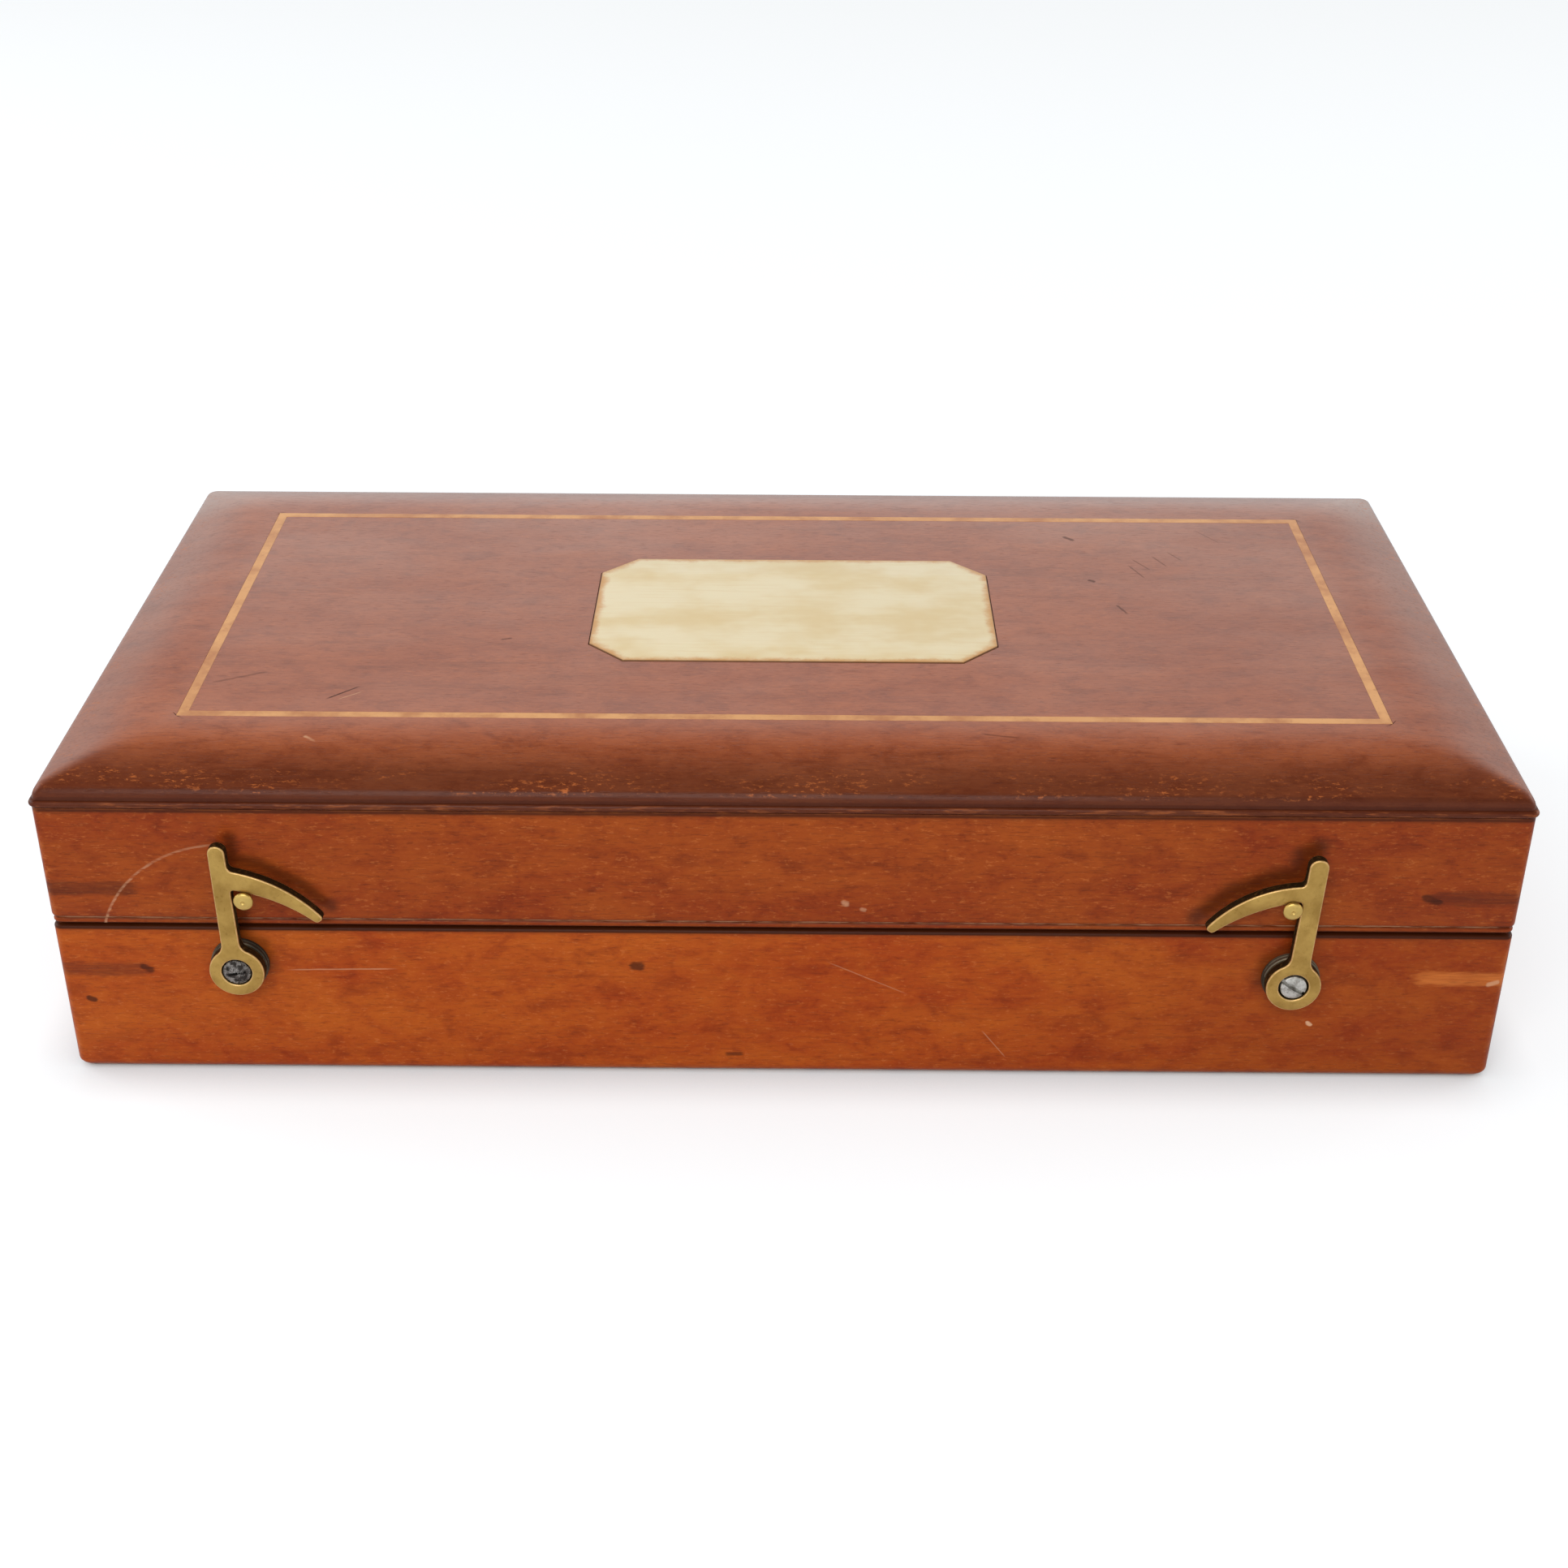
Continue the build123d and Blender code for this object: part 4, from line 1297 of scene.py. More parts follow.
@dataclass
class CaseLid:
    """The case's lid: four mitred boards with a scribed bead, the keys, the moulded panel and its inlay."""

    body: Body = Body.LID
    corner_round: float = 1.2
    bead: float = 0.52
    quirk: float = 0.24
    overhang: float = 0.3
    lip: float = 0.55
    step: float = 0.5
    nose: float = 2.2
    run: float = 15.0
    string_margin: float = 16.75
    string_width: float = 1.5
    string_depth: float = 1.0
    string_proud: float = 0.03
    key_leg: float = 12.6
    key_thickness: float = 1.9
    plaque_corner: float = 5.5

    def ring(self) -> bmesh.types.BMesh:
        """The four boards in one, with the bead along the seam and the key slots."""
        low = CASE.lid_floor
        high = CASE.panel_floor
        wall = CASE.wall
        section = [(wall, low + 0.3, 0.3), (wall - 0.3, low, 0.3)]
        for x, z in arc((self.bead + 0.1, low + self.bead), self.bead, 270, 110, 8):
            section.append((x, z, self.corner_round))
        quirk_z = low + 2 * self.bead + 0.06
        section += [(self.quirk, quirk_z, self.corner_round), (self.quirk, quirk_z + 0.08, self.corner_round),
                    (0.05, quirk_z + 0.24, self.corner_round), (0.0, quirk_z + 0.5, self.corner_round),
                    (0.0, high, self.corner_round), (wall, high, 0.3)]
        bm = bmesh.new()
        skin(bm, inset_section(section), closed=True, caps=False)
        return carve(bm, corner_keys(CASE.key_height_lid, self.key_leg, self.key_thickness, 0.2, 1.0))

    def moulding(self) -> list[tuple[float, float, float]]:
        """The panel's section from its underside to where the moulding meets the flat."""
        floor = CASE.panel_floor
        rise = CASE.lid_top - floor - 2 * self.lip
        width = self.run - self.nose
        wide = (width**2 + rise**2 - self.nose**2) / (2 * (rise - self.nose))
        meet = math.degrees(math.atan2(wide - rise, width))
        section = [(4.0, floor, 0.5)]
        for x, z in arc((self.lip, floor + self.lip), self.lip, 270, 90, 10):
            section.append((x, z, 1.3))
        start = self.step
        base = floor + 2 * self.lip
        for x, z in arc((start + self.nose, base), self.nose, 180, 180 - meet, 9):
            section.append((x, z, 1.1))
        wide_middle = (start + self.run, CASE.lid_top - wide)
        for x, z in arc(wide_middle, wide, 180 - meet, 90, 16)[1:]:
            section.append((x, z, 1.1 + 0.3 * (x - start)))
        return section

    def panel(self) -> bmesh.types.BMesh:
        """The moulded panel, with the channel for the stringing and the recess for the plaque."""
        bm = bmesh.new()
        loops = inset_section(self.moulding(), self.overhang)
        top = CASE.lid_top
        outer = self.string_margin - 0.02
        inner = outer + self.string_width + 0.04
        for inset, height in ((outer, top), (outer, top - self.string_depth),
                              (inner, top - self.string_depth), (inner, top)):
            loops.append(rounded_loop(inset, height, 0.02))
        skin(bm, loops, closed=False, caps=False)
        bm.verts.ensure_lookup_table()
        count = len(loops[0])
        bm.faces.new([bm.verts[i] for i in reversed(range(count))])
        field_loop = [bm.verts[len(bm.verts) - count + i] for i in range(count)]
        self.field(bm, field_loop)
        return bm

    def plaque_outline(self, grow: float) -> list[Flat]:
        """The plaque's clipped outline, grown by a little."""
        low, high = extent("plaque")
        x0, x1 = low.x - grow, high.x + grow
        y0, y1 = low.y - grow, high.y + grow
        clip = self.plaque_corner + grow * 0.4
        return [(x1 - clip, y0), (x1, y0 + clip), (x1, y1 - clip), (x1 - clip, y1),
                (x0 + clip, y1), (x0, y1 - clip), (x0, y0 + clip), (x0 + clip, y0)]

    def field(self, bm: bmesh.types.BMesh, outer: list[bmesh.types.BMVert]) -> None:
        """Fill the flat field round the plaque and sink the plaque's recess.

        Args:
            bm: the panel's mesh.
            outer: the field's outer loop.
        """
        top = CASE.lid_top
        rim = [bm.verts.new((x, y, top)) for x, y in self.plaque_outline(0.12)]
        floor = [bm.verts.new((x, y, top - 1.0)) for x, y in self.plaque_outline(0.12)]
        share = len(outer) // 4
        for corner in range(4):
            group = outer[corner * share:(corner + 1) * share]
            following = outer[((corner + 1) * share) % len(outer)]
            first, second = rim[2 * corner], rim[2 * corner + 1]
            after = rim[(2 * corner + 2) % 8]
            bm.faces.new([*group, second, first])
            bm.faces.new([group[-1], following, after, second])
        for i in range(8):
            j = (i + 1) % 8
            bm.faces.new((rim[i], rim[j], floor[j], floor[i]))
        bm.faces.new(floor)

    def strings(self) -> bmesh.types.BMesh:
        """The four mitred strips of the stringing, barely proud of the polish."""
        bm = bmesh.new()
        outer = (CASE.half_length - self.string_margin, CASE.half_width - self.string_margin)
        inner = (outer[0] - self.string_width, outer[1] - self.string_width)
        top = CASE.lid_top + self.string_proud
        ease = 0.05
        corners = [(1, -1), (1, 1), (-1, 1), (-1, -1)]
        for i in range(4):
            (ax, ay), (bx, by) = corners[i], corners[(i + 1) % 4]
            lines = []
            for grow in (0.0, ease):
                shape = [(ax * (outer[0] - grow), ay * (outer[1] - grow)),
                         (bx * (outer[0] - grow), by * (outer[1] - grow)),
                         (bx * (inner[0] + grow), by * (inner[1] + grow)),
                         (ax * (inner[0] + grow), ay * (inner[1] + grow))]
                lines.append(shape)
            loops = [[(x, y, top - self.string_depth) for x, y in lines[0]],
                     [(x, y, top - ease) for x, y in lines[0]],
                     [(x, y, top) for x, y in lines[1]]]
            skin(bm, loops, closed=False, caps=True)
        return bm

    def plaque(self) -> bmesh.types.BMesh:
        """The bare plaque: a thin plate with softly worn edges, a little proud."""
        low, high = extent("plaque")
        thickness = high.z - low.z
        place_at = Matrix.Translation((0, 0, (high.z + low.z) / 2))
        line = self.plaque_outline(0.0)
        soft: list[Flat] = []
        for i, corner in enumerate(line):
            before = Vector(line[i - 1])
            after = Vector(line[(i + 1) % 8])
            here = Vector(corner)
            start = here + (before - here).normalized() * 0.35
            end = here + (after - here).normalized() * 0.35
            soft += [tuple(start), tuple((start + here * 2 + end) / 4), tuple(end)]
        return plate(soft, [], thickness, 0.12, place_at)

    def build(self) -> None:
        """Make every piece of the lid."""
        ring = self.ring()
        for name in ("front", "back", "left_end", "right_end"):
            board = board_from_ring(ring, name, True)
            if name == "back":
                board = cut_hinge_seat(board, lid=True)
            finish = LID_WOOD if name in ("front", "back") else LID_END_WOOD
            place(finish_mesh(f"lid_{name}_board", board, finish), self.body, f"lid_{name}")
        ring.free()
        keys = corner_keys(CASE.key_height_lid, self.key_leg, self.key_thickness, self.corner_round)
        place(finish_mesh("lid_keys", keys, LID_KEY_WOOD), self.body, "lid_corner_keys")
        place(finish_mesh("lid_moulded_panel", self.panel(), PANEL_WOOD, 28), self.body, "lid_top_panel")
        place(finish_mesh("stringing", self.strings(), BOXWOOD), self.body, "string_inlay")
        place(finish_mesh("bare_plaque", self.plaque(), PLAQUE_BONE), self.body, "plaque")


@dataclass
class SlottedScrew:
    """A turned screw head with a slot, and the part of its shank that can be seen."""

    radius: float
    height: float
    dome: float
    slot_width: float
    slot_depth: float
    slot_angle: float
    ease: float = 0.18

    def mesh(self, seat: Point, direction: Point) -> bmesh.types.BMesh:
        """The head, standing on its seat.

        Args:
            seat: the middle of the head's underside.
            direction: the way that the head looks.

        Returns:
            The head's mesh.
        """
        bm = bmesh.new()
        flat = self.height - self.dome
        profile = [(0, 0), (self.radius, 0), (self.radius, flat - self.ease)]
        profile += arc((self.radius - self.ease, flat - self.ease), self.ease, 30, 90, 2)
        profile += [(self.radius * 0.5, flat + self.dome * 0.75), (0, self.height)]
        lathe(bm, profile, Matrix.Identity(4), 40)
        cutter = bmesh.new()
        half = self.slot_width / 2
        block(cutter, (-2 * self.radius, -half, self.height - self.slot_depth),
              (2 * self.radius, half, self.height + 1), 0)
        bm = carve(bm, cutter)
        turn = Matrix.Rotation(math.radians(self.slot_angle), 4, "Z")
        bmesh.ops.transform(bm, matrix=aim(seat, direction) @ turn, verts=bm.verts)
        return bm


@dataclass
class SideHook:
    """One side hook with its washer and screw on the base, and its stud on the lid."""

    side: Side
    arm_length: float
    arm_lean: float
    root_half: float
    tip_radius: float
    tail_inner: Point
    tail_outer: Point
    tail_sweep: float
    screw: SlottedScrew
    screw_finish: Finish
    thickness: float = 1.6
    eye_radius: float = 3.9
    hole_radius: float = 2.12
    root_shift: float = 0.33
    edge_round: float = 0.24
    washer_radius: float = 4.1

    @property
    def body(self) -> Body:
        """The hook's own body."""
        return Body.LEFT_HOOK if self.side is Side.LEFT else Body.RIGHT_HOOK

    @property
    def pivot(self) -> Vector:
        """The middle of the hook's screw."""
        return centre(f"{self.side.word}_hook_screw")

    def swing(self, radius: float, angle: float) -> Flat:
        """A point round the pivot at an angle from straight up, towards the tail."""
        turn = math.radians(angle)
        return -radius * math.sin(turn), radius * math.cos(turn)

    def arm_side(self, sign: int, height: float) -> Flat:
        """A point of the arm's left (-1) or right (1) side."""
        share = height / (self.arm_length - self.tip_radius)
        middle = self.root_shift + (self.arm_lean - self.root_shift) * share
        half = self.root_half + (self.tip_radius - self.root_half) * share
        return middle + sign * half, height

    def arm_at(self, sign: int, radius: float) -> Flat:
        """The point of the arm's side that lies at a distance from the pivot."""
        height = radius
        for _ in range(5):
            height = math.sqrt(radius**2 - self.arm_side(sign, height)[0] ** 2)
        return self.arm_side(sign, height)

    def tail_line(self, radii: Point) -> list[Flat]:
        """One long side of the tail, from the arm to the tip."""
        points = [self.swing(r, a) for r, a in zip(radii, (0, self.tail_sweep / 2, self.tail_sweep))]
        line = bow(*points, steps=70)
        edge = self.arm_at(-1, radii[0])
        return [edge, *[p for p in line if p[0] < edge[0] - 0.05]]

    def outline(self) -> list[Flat]:
        """A right-hand hook's outline round its pivot: eye, arm, rounded top and curved tail."""
        neck_right = self.arm_at(1, self.eye_radius)
        neck_left = self.arm_at(-1, self.eye_radius)
        angle_right = math.degrees(math.atan2(neck_right[1], neck_right[0]))
        angle_left = math.degrees(math.atan2(neck_left[1], neck_left[0]))
        under = self.tail_line(self.tail_inner)
        over = self.tail_line(self.tail_outer)
        top = self.arm_length - self.tip_radius
        lines = [
            arc((0, 0), self.eye_radius, angle_right, angle_left - 360, 110),
            straight(neck_left, under[0]),
            under,
            straight(under[-1], over[-1]),
            over[::-1],
            straight(over[0], self.arm_side(-1, top)),
            arc((self.arm_lean, top), self.tip_radius, 180, 0, 30),
            straight(self.arm_side(1, top), neck_right),
        ]
        return soft_path(lines, (1.1, 0.7, 0.45, 0.55, 0.6, 0.0, 0.0, 1.1))

    def build(self) -> None:
        """Make the hook, its washer, its screw and its stud."""
        word = self.side.word
        low, high = extent(f"{word}_hook")
        pivot = self.pivot
        mirror = -1 if self.side is Side.LEFT else 1
        outline = [(mirror * x, z) for x, z in self.outline()]
        hole = arc((0, 0), self.hole_radius, 0, 351, 39)
        frame_of = Matrix.Translation((pivot.x, (low.y + high.y) / 2, pivot.z)) @ Matrix.Rotation(
            math.radians(90), 4, "X")
        hook = plate(outline, [hole], self.thickness, self.edge_round, frame_of)
        place(finish_mesh(f"{word}_hook_plate", hook, HOOK_BRASS, 50), self.body, f"{word}_hook")
        self.build_washer(word, pivot)
        self.build_screw(word, pivot)
        self.build_stud(word)

    def build_washer(self, word: str, pivot: Vector) -> None:
        """Two thin washers under the eye, dark with age."""
        low, high = extent(f"{word}_hook_washer")
        thick = high.y - low.y
        bm = bmesh.new()
        profile = [(1.2, 0), (self.washer_radius - 0.12, 0), (self.washer_radius, 0.1),
                   (self.washer_radius, thick * 0.42), (self.washer_radius - 0.18, thick * 0.48),
                   (self.washer_radius - 0.05, thick * 0.54), (self.washer_radius - 0.05, thick - 0.12),
                   (self.washer_radius - 0.17, thick), (1.2, thick), (1.2, 0)]
        lathe(bm, profile, aim((pivot.x, high.y, pivot.z), (0, -1, 0)), 56)
        bmesh.ops.remove_doubles(bm, verts=bm.verts, dist=1e-4)
        place(finish_mesh(f"{word}_washer", bm, WASHER_BRASS), Body.CASE, f"{word}_hook_washer")

    def build_screw(self, word: str, pivot: Vector) -> None:
        """The slotted screw in the eye, with its shank down to the wood."""
        low, high = extent(f"{word}_hook_screw")
        bm = self.screw.mesh((pivot.x, low.y + self.screw.height, pivot.z), (0, -1, 0))
        lathe(bm, [(0, 0), (1.15, 0), (1.15, high.y - low.y - 2.3), (0, high.y - low.y - 1.2)],
              aim((pivot.x, low.y + 1.15, pivot.z), (0, 1, 0)), 24)
        place(finish_mesh(f"{word}_pivot_screw", bm, self.screw_finish), Body.CASE, f"{word}_hook_screw")

    def build_stud(self, word: str) -> None:
        """The stud that the hook catches: a slim neck and a domed head with a small centre mark."""
        low, high = extent(f"{word}_hook_stud")
        middle = centre(f"{word}_hook_stud")
        radius = (high.x - low.x) / 2
        length = high.y - low.y
        neck = 0.84
        bm = bmesh.new()
        profile = [(0, 0), (neck, 0), (neck, length - 0.66), (radius - 0.08, length - 0.64),
                   (radius, length - 0.56), (radius, length - 0.42)]
        profile += [(radius * math.cos(math.radians(a)), length - 0.42 + 0.38 * math.sin(math.radians(a)))
                    for a in (20, 38, 54, 66)]
        profile += [(0.42, length - 0.03), (0.30, length), (0.18, length - 0.13), (0, length - 0.17)]
        lathe(bm, profile, aim((middle.x, high.y, middle.z), (0, -1, 0)), 40)
        place(finish_mesh(f"{word}_stud", bm, STUD_BRASS), Body.LID, f"{word}_hook_stud")


@dataclass
class ButtHinge:
    """One butt hinge: two leaves with turned knuckles and a pin; its screws are made by HingeScrews."""

    side: Side
    barrel: float = 1.6
    leaf_thickness: float = 0.8
    leaf_width: float = 5.2
    knuckles: int = 3
    gap: float = 0.1

    def build(self) -> None:
        """Make the leaves and the pin."""
        word = self.side.word
        pin_low, pin_high = extent(f"{word}_hinge_pin")
        for lid in (False, True):
            self.build_leaf(word, pin_low.x, pin_high.x, lid)
        bm = bmesh.new()
        radius = (pin_high.z - pin_low.z) / 2
        length = pin_high.x - pin_low.x
        profile = [(0, 0.0), (radius * 0.7, 0.06), (radius, 0.3), (radius, length - 0.3),
                   (radius * 0.7, length - 0.06), (0, length)]
        lathe(bm, profile, aim((pin_low.x, CASE.hinge_y, CASE.hinge_z), (1, 0, 0)), 24)
        place(finish_mesh(f"{word}_pin", bm, PIN_STEEL), Body.CASE, f"{word}_hinge_pin")

    def build_leaf(self, word: str, low: float, high: float, lid: bool) -> None:
        """One leaf with its knuckles.

        Args:
            word: the hinge's side.
            low: where the hinge starts along the case.
            high: where it ends.
            lid: whether the leaf is the lid's.
        """
        bm = bmesh.new()
        face = CASE.lid_floor if lid else CASE.base_height
        far = face + (self.leaf_thickness if lid else -self.leaf_thickness)
        pitch = (high - low) / self.knuckles
        back = CASE.hinge_y
        for index in range(self.knuckles):
            mine = (index % 2 == 1) == lid
            start = low + index * pitch
            reach = back - 0.6 if mine else back - self.barrel - 0.2
            grow = 0.0 if index in (0, self.knuckles - 1) else 0.0
            block(bm, (start - grow, back - self.leaf_width, min(face, far)),
                  (start + pitch + grow, reach, max(face, far)), 0.0)
            if mine:
                first = start + (self.gap / 2 if index else 0)
                last = start + pitch - (self.gap / 2 if index < self.knuckles - 1 else 0)
                tube = last - first
                r = self.barrel
                profile = [(0.66, 0), (r - 0.15, 0), (r, 0.15), (r, tube - 0.15), (r - 0.15, tube),
                           (0.66, tube), (0.66, 0)]
                part = bmesh.new()
                lathe(part, profile, aim((first, CASE.hinge_y, CASE.hinge_z), (1, 0, 0)), 36)
                bmesh.ops.remove_doubles(part, verts=part.verts, dist=1e-4)
                add_mesh(bm, part)
        kind = "lid" if lid else "base"
        body = Body.LID if lid else Body.CASE
        place(finish_mesh(f"{word}_{kind}_leaf", bm, HINGE_BRASS), body, f"{word}_hinge_{kind}_leaf")


@dataclass
class HingeScrews:
    """The countersunk screws of all leaves of one part of the case."""

    lid: bool
    radius: float = 1.3
    length: float = 6.0

    def build(self) -> None:
        """Make the four screws, each slot turned its own way."""
        node = "hinge_lid_screws" if self.lid else "hinge_base_screws"
        face = CASE.lid_floor if self.lid else CASE.base_height
        out = (0, 0, -1) if self.lid else (0, 0, 1)
        y = CASE.hinge_y - 5.2 + 2.0
        bm = bmesh.new()
        angles = (12, 71, -35, 48)
        places = []
        for side in Side:
            middle = centre(f"{side.word}_hinge_pin").x
            places += [middle - 7.5, middle + 7.5]
        for x, angle in zip(places, angles):
            head = SlottedScrew(radius=self.radius, height=0.65, dome=0.0, slot_width=0.32, slot_depth=0.3,
                                slot_angle=angle, ease=0.05)
            seat = (x, y, face - out[2] * 0.66)
            add_mesh(bm, head.mesh(seat, out))
            lathe(bm, [(0, 0), (0.7, 0), (0.7, self.length - 1.7), (0, self.length - 0.7)],
                  aim(seat, (0, 0, -out[2])), 16)
        body = Body.LID if self.lid else Body.CASE
        place(finish_mesh(f"{'lid' if self.lid else 'base'}_leaf_screws", bm, HINGE_SCREW_STEEL), body, node)


@dataclass
class Float:
    """The hydrometer: bulb, lower stem, ball and flat scale stem, lying in the case."""

    ball_radius: float = 17.5
    collar_radius: float = 2.6
    stem_radius: float = 1.6
    stem_half: float = 1.7
    stem_thick: float = 1.5
    bulb_radius: float = 5.8
    bulb_length: float = 16.5
    upper_stem: float = 88.0
    lower_stem: float = 30.5

    def profile(self, length: float) -> list[Flat]:
        """The turned outline from the bulb's end to the upper collar.

        Args:
            length: where the upper collar ends.

        Returns:
            Radius and place pairs.
        """
        r = self.bulb_radius
        points = [(r * math.sin(t), r - r * math.cos(t)) for t in [math.radians(a) for a in range(0, 105, 7)]]
        run = self.bulb_length - points[-1][1]
        last = points[-1]
        for i in range(1, 9):
            share = i / 8
            ease = share * share * (3 - 2 * share)
            points.append((last[0] + (self.stem_radius - last[0]) * (0.55 * share + 0.45 * ease),
                           last[1] + run * share))
        ball_middle = self.bulb_length + self.lower_stem + self.ball_radius
        join = ball_middle - math.sqrt(self.ball_radius**2 - 3.0**2)
        points += [(self.stem_radius, join - 2.2), (self.stem_radius + 0.35, join - 1.5), (2.4, join - 0.5),
                   (3.0, join)]
        first = math.degrees(math.asin(3.0 / self.ball_radius))
        angle = first + 3
        while angle < 177 - first:
            t = math.radians(angle)
            radius = self.ball_radius
            if abs(angle - 90) < 0.8:
                radius -= 0.12
            points.append((radius * math.sin(t), ball_middle - radius * math.cos(t)))
            angle += 0.7 if 87.5 < angle < 91.5 else 3
        end = ball_middle + math.sqrt(self.ball_radius**2 - 3.0**2)
        points += [(3.0, end), (self.collar_radius, end + 0.4), (self.collar_radius, end + 0.9),
                   (self.collar_radius - 0.3, end + 1.1), (self.collar_radius - 0.1, end + 1.35),
                   (1.9, length), (0, length)]
        return points

    def build(self) -> None:
        """Make the turned body, the flat stem and its figures."""
        low, high = extent("hydrometer")
        axis_y = (low.y + high.y) / 2
        axis_z = (low.z + high.z) / 2
        stem_start = high.x - self.upper_stem
        length = stem_start + 1.7 - low.x
        bm = bmesh.new()
        lathe(bm, self.profile(length), aim((low.x, axis_y, axis_z), (1, 0, 0)), 72)
        block(bm, (stem_start + 0.6, axis_y - self.stem_half, axis_z - self.stem_thick / 2),
              (high.x, axis_y + self.stem_half, axis_z + self.stem_thick / 2), 0.16)
        body = place(finish_mesh("float_body", bm, FLOAT_BRASS), Body.CASE, "hydrometer")
        figures = Figures(size=1.25, proud=0.012, finish=ENGRAVED)
        words = []
        for index in range(11):
            words.append((str(index), (stem_start + 8.0 + index * 7.6, axis_y + 0.78,
                                       axis_z + self.stem_thick / 2)))
        figures.build("float_figures", words, Body.CASE, Matrix.Identity(4))
        LOG.info("%s is %.0f mm long", body.name, high.x - low.x)


@dataclass
class Figures:
    """Plain engraved numbers, filled dark, on one flat face."""

    size: float
    proud: float
    finish: Finish

    def build(self, name: str, words: Sequence[tuple[str, Point]], body: Body, turn: Matrix) -> None:
        """Make all the numbers of one face as one piece.

        Args:
            name: the piece's name.
            words: each number and the middle of its place.
            body: what they ride on.
            turn: turns a number that lies flat and reads along X to the way it faces.
        """
        bm = bmesh.new()
        for text, at in words:
            curve = bpy.data.curves.new("figure", "FONT")
            curve.body = text
            curve.size = self.size
            curve.align_x = "CENTER"
            curve.align_y = "CENTER"
            curve.extrude = self.proud
            curve.resolution_u = 3
            spare = bpy.data.objects.new("figure", curve)
            bpy.context.scene.collection.objects.link(spare)
            mesh = evaluated_mesh(spare)
            part = bmesh.new()
            part.from_mesh(mesh)
            bmesh.ops.remove_doubles(part, verts=part.verts, dist=1e-4)
            bmesh.ops.transform(part, matrix=Matrix.Translation(at) @ turn, verts=part.verts)
            add_mesh(bm, part)
            bpy.data.objects.remove(spare)
            bpy.data.curves.remove(curve)
            bpy.data.meshes.remove(mesh)
        place(finish_mesh(name, bm, self.finish), body)


@dataclass
class WeightRow:
    """The nine slotted weights, standing on edge, each with its number."""

    numbers: tuple[int, ...] = tuple(range(10, 100, 10))
    slot_half: float = 1.8
    ease: float = 0.35

    def build(self) -> None:
        """Make each weight and stamp its number beside the slot."""
        for number in self.numbers:
            node = f"weight_{number}"
            low, high = extent(node)
            radius = (high.y - low.y) / 2
            thick = high.x - low.x
            middle = Vector((low.x, (low.y + high.y) / 2, low.z + radius))
            bm = bmesh.new()
            profile = [(0, 0), (radius - self.ease, 0), (radius - 0.1, 0.1), (radius, self.ease),
                       (radius, thick - self.ease), (radius - 0.1, thick - 0.1), (radius - self.ease, thick),
                       (0, thick)]
            lathe(bm, profile, aim(tuple(middle), (1, 0, 0)), 72)
            cutter = bmesh.new()
            block(cutter, (low.x - 1, middle.y - self.slot_half, middle.z),
                  (high.x + 1, middle.y + self.slot_half, middle.z + radius + 2), 0)
            bm = carve(bm, cutter)
            cutter = bmesh.new()
            lathe(cutter, [(0, 0), (self.slot_half, 0), (self.slot_half, thick + 2), (0, thick + 2)],
                  aim((low.x - 1, middle.y, middle.z), (1, 0, 0)), 32)
            bm = carve(bm, cutter)
            place(finish_mesh(f"slotted_weight_{number}", bm, WEIGHT_BRASS), Body.CASE, node)
            up = middle.z + radius * 0.52
            turn = Matrix.Rotation(math.radians(90), 4, "Z") @ Matrix.Rotation(math.radians(90), 4, "X")
            words = [(str(number), (high.x, middle.y + radius * 0.52, up))]
            Figures(size=3.4, proud=0.012, finish=ENGRAVED).build(f"weight_figure_{number}", words, Body.CASE, turn)


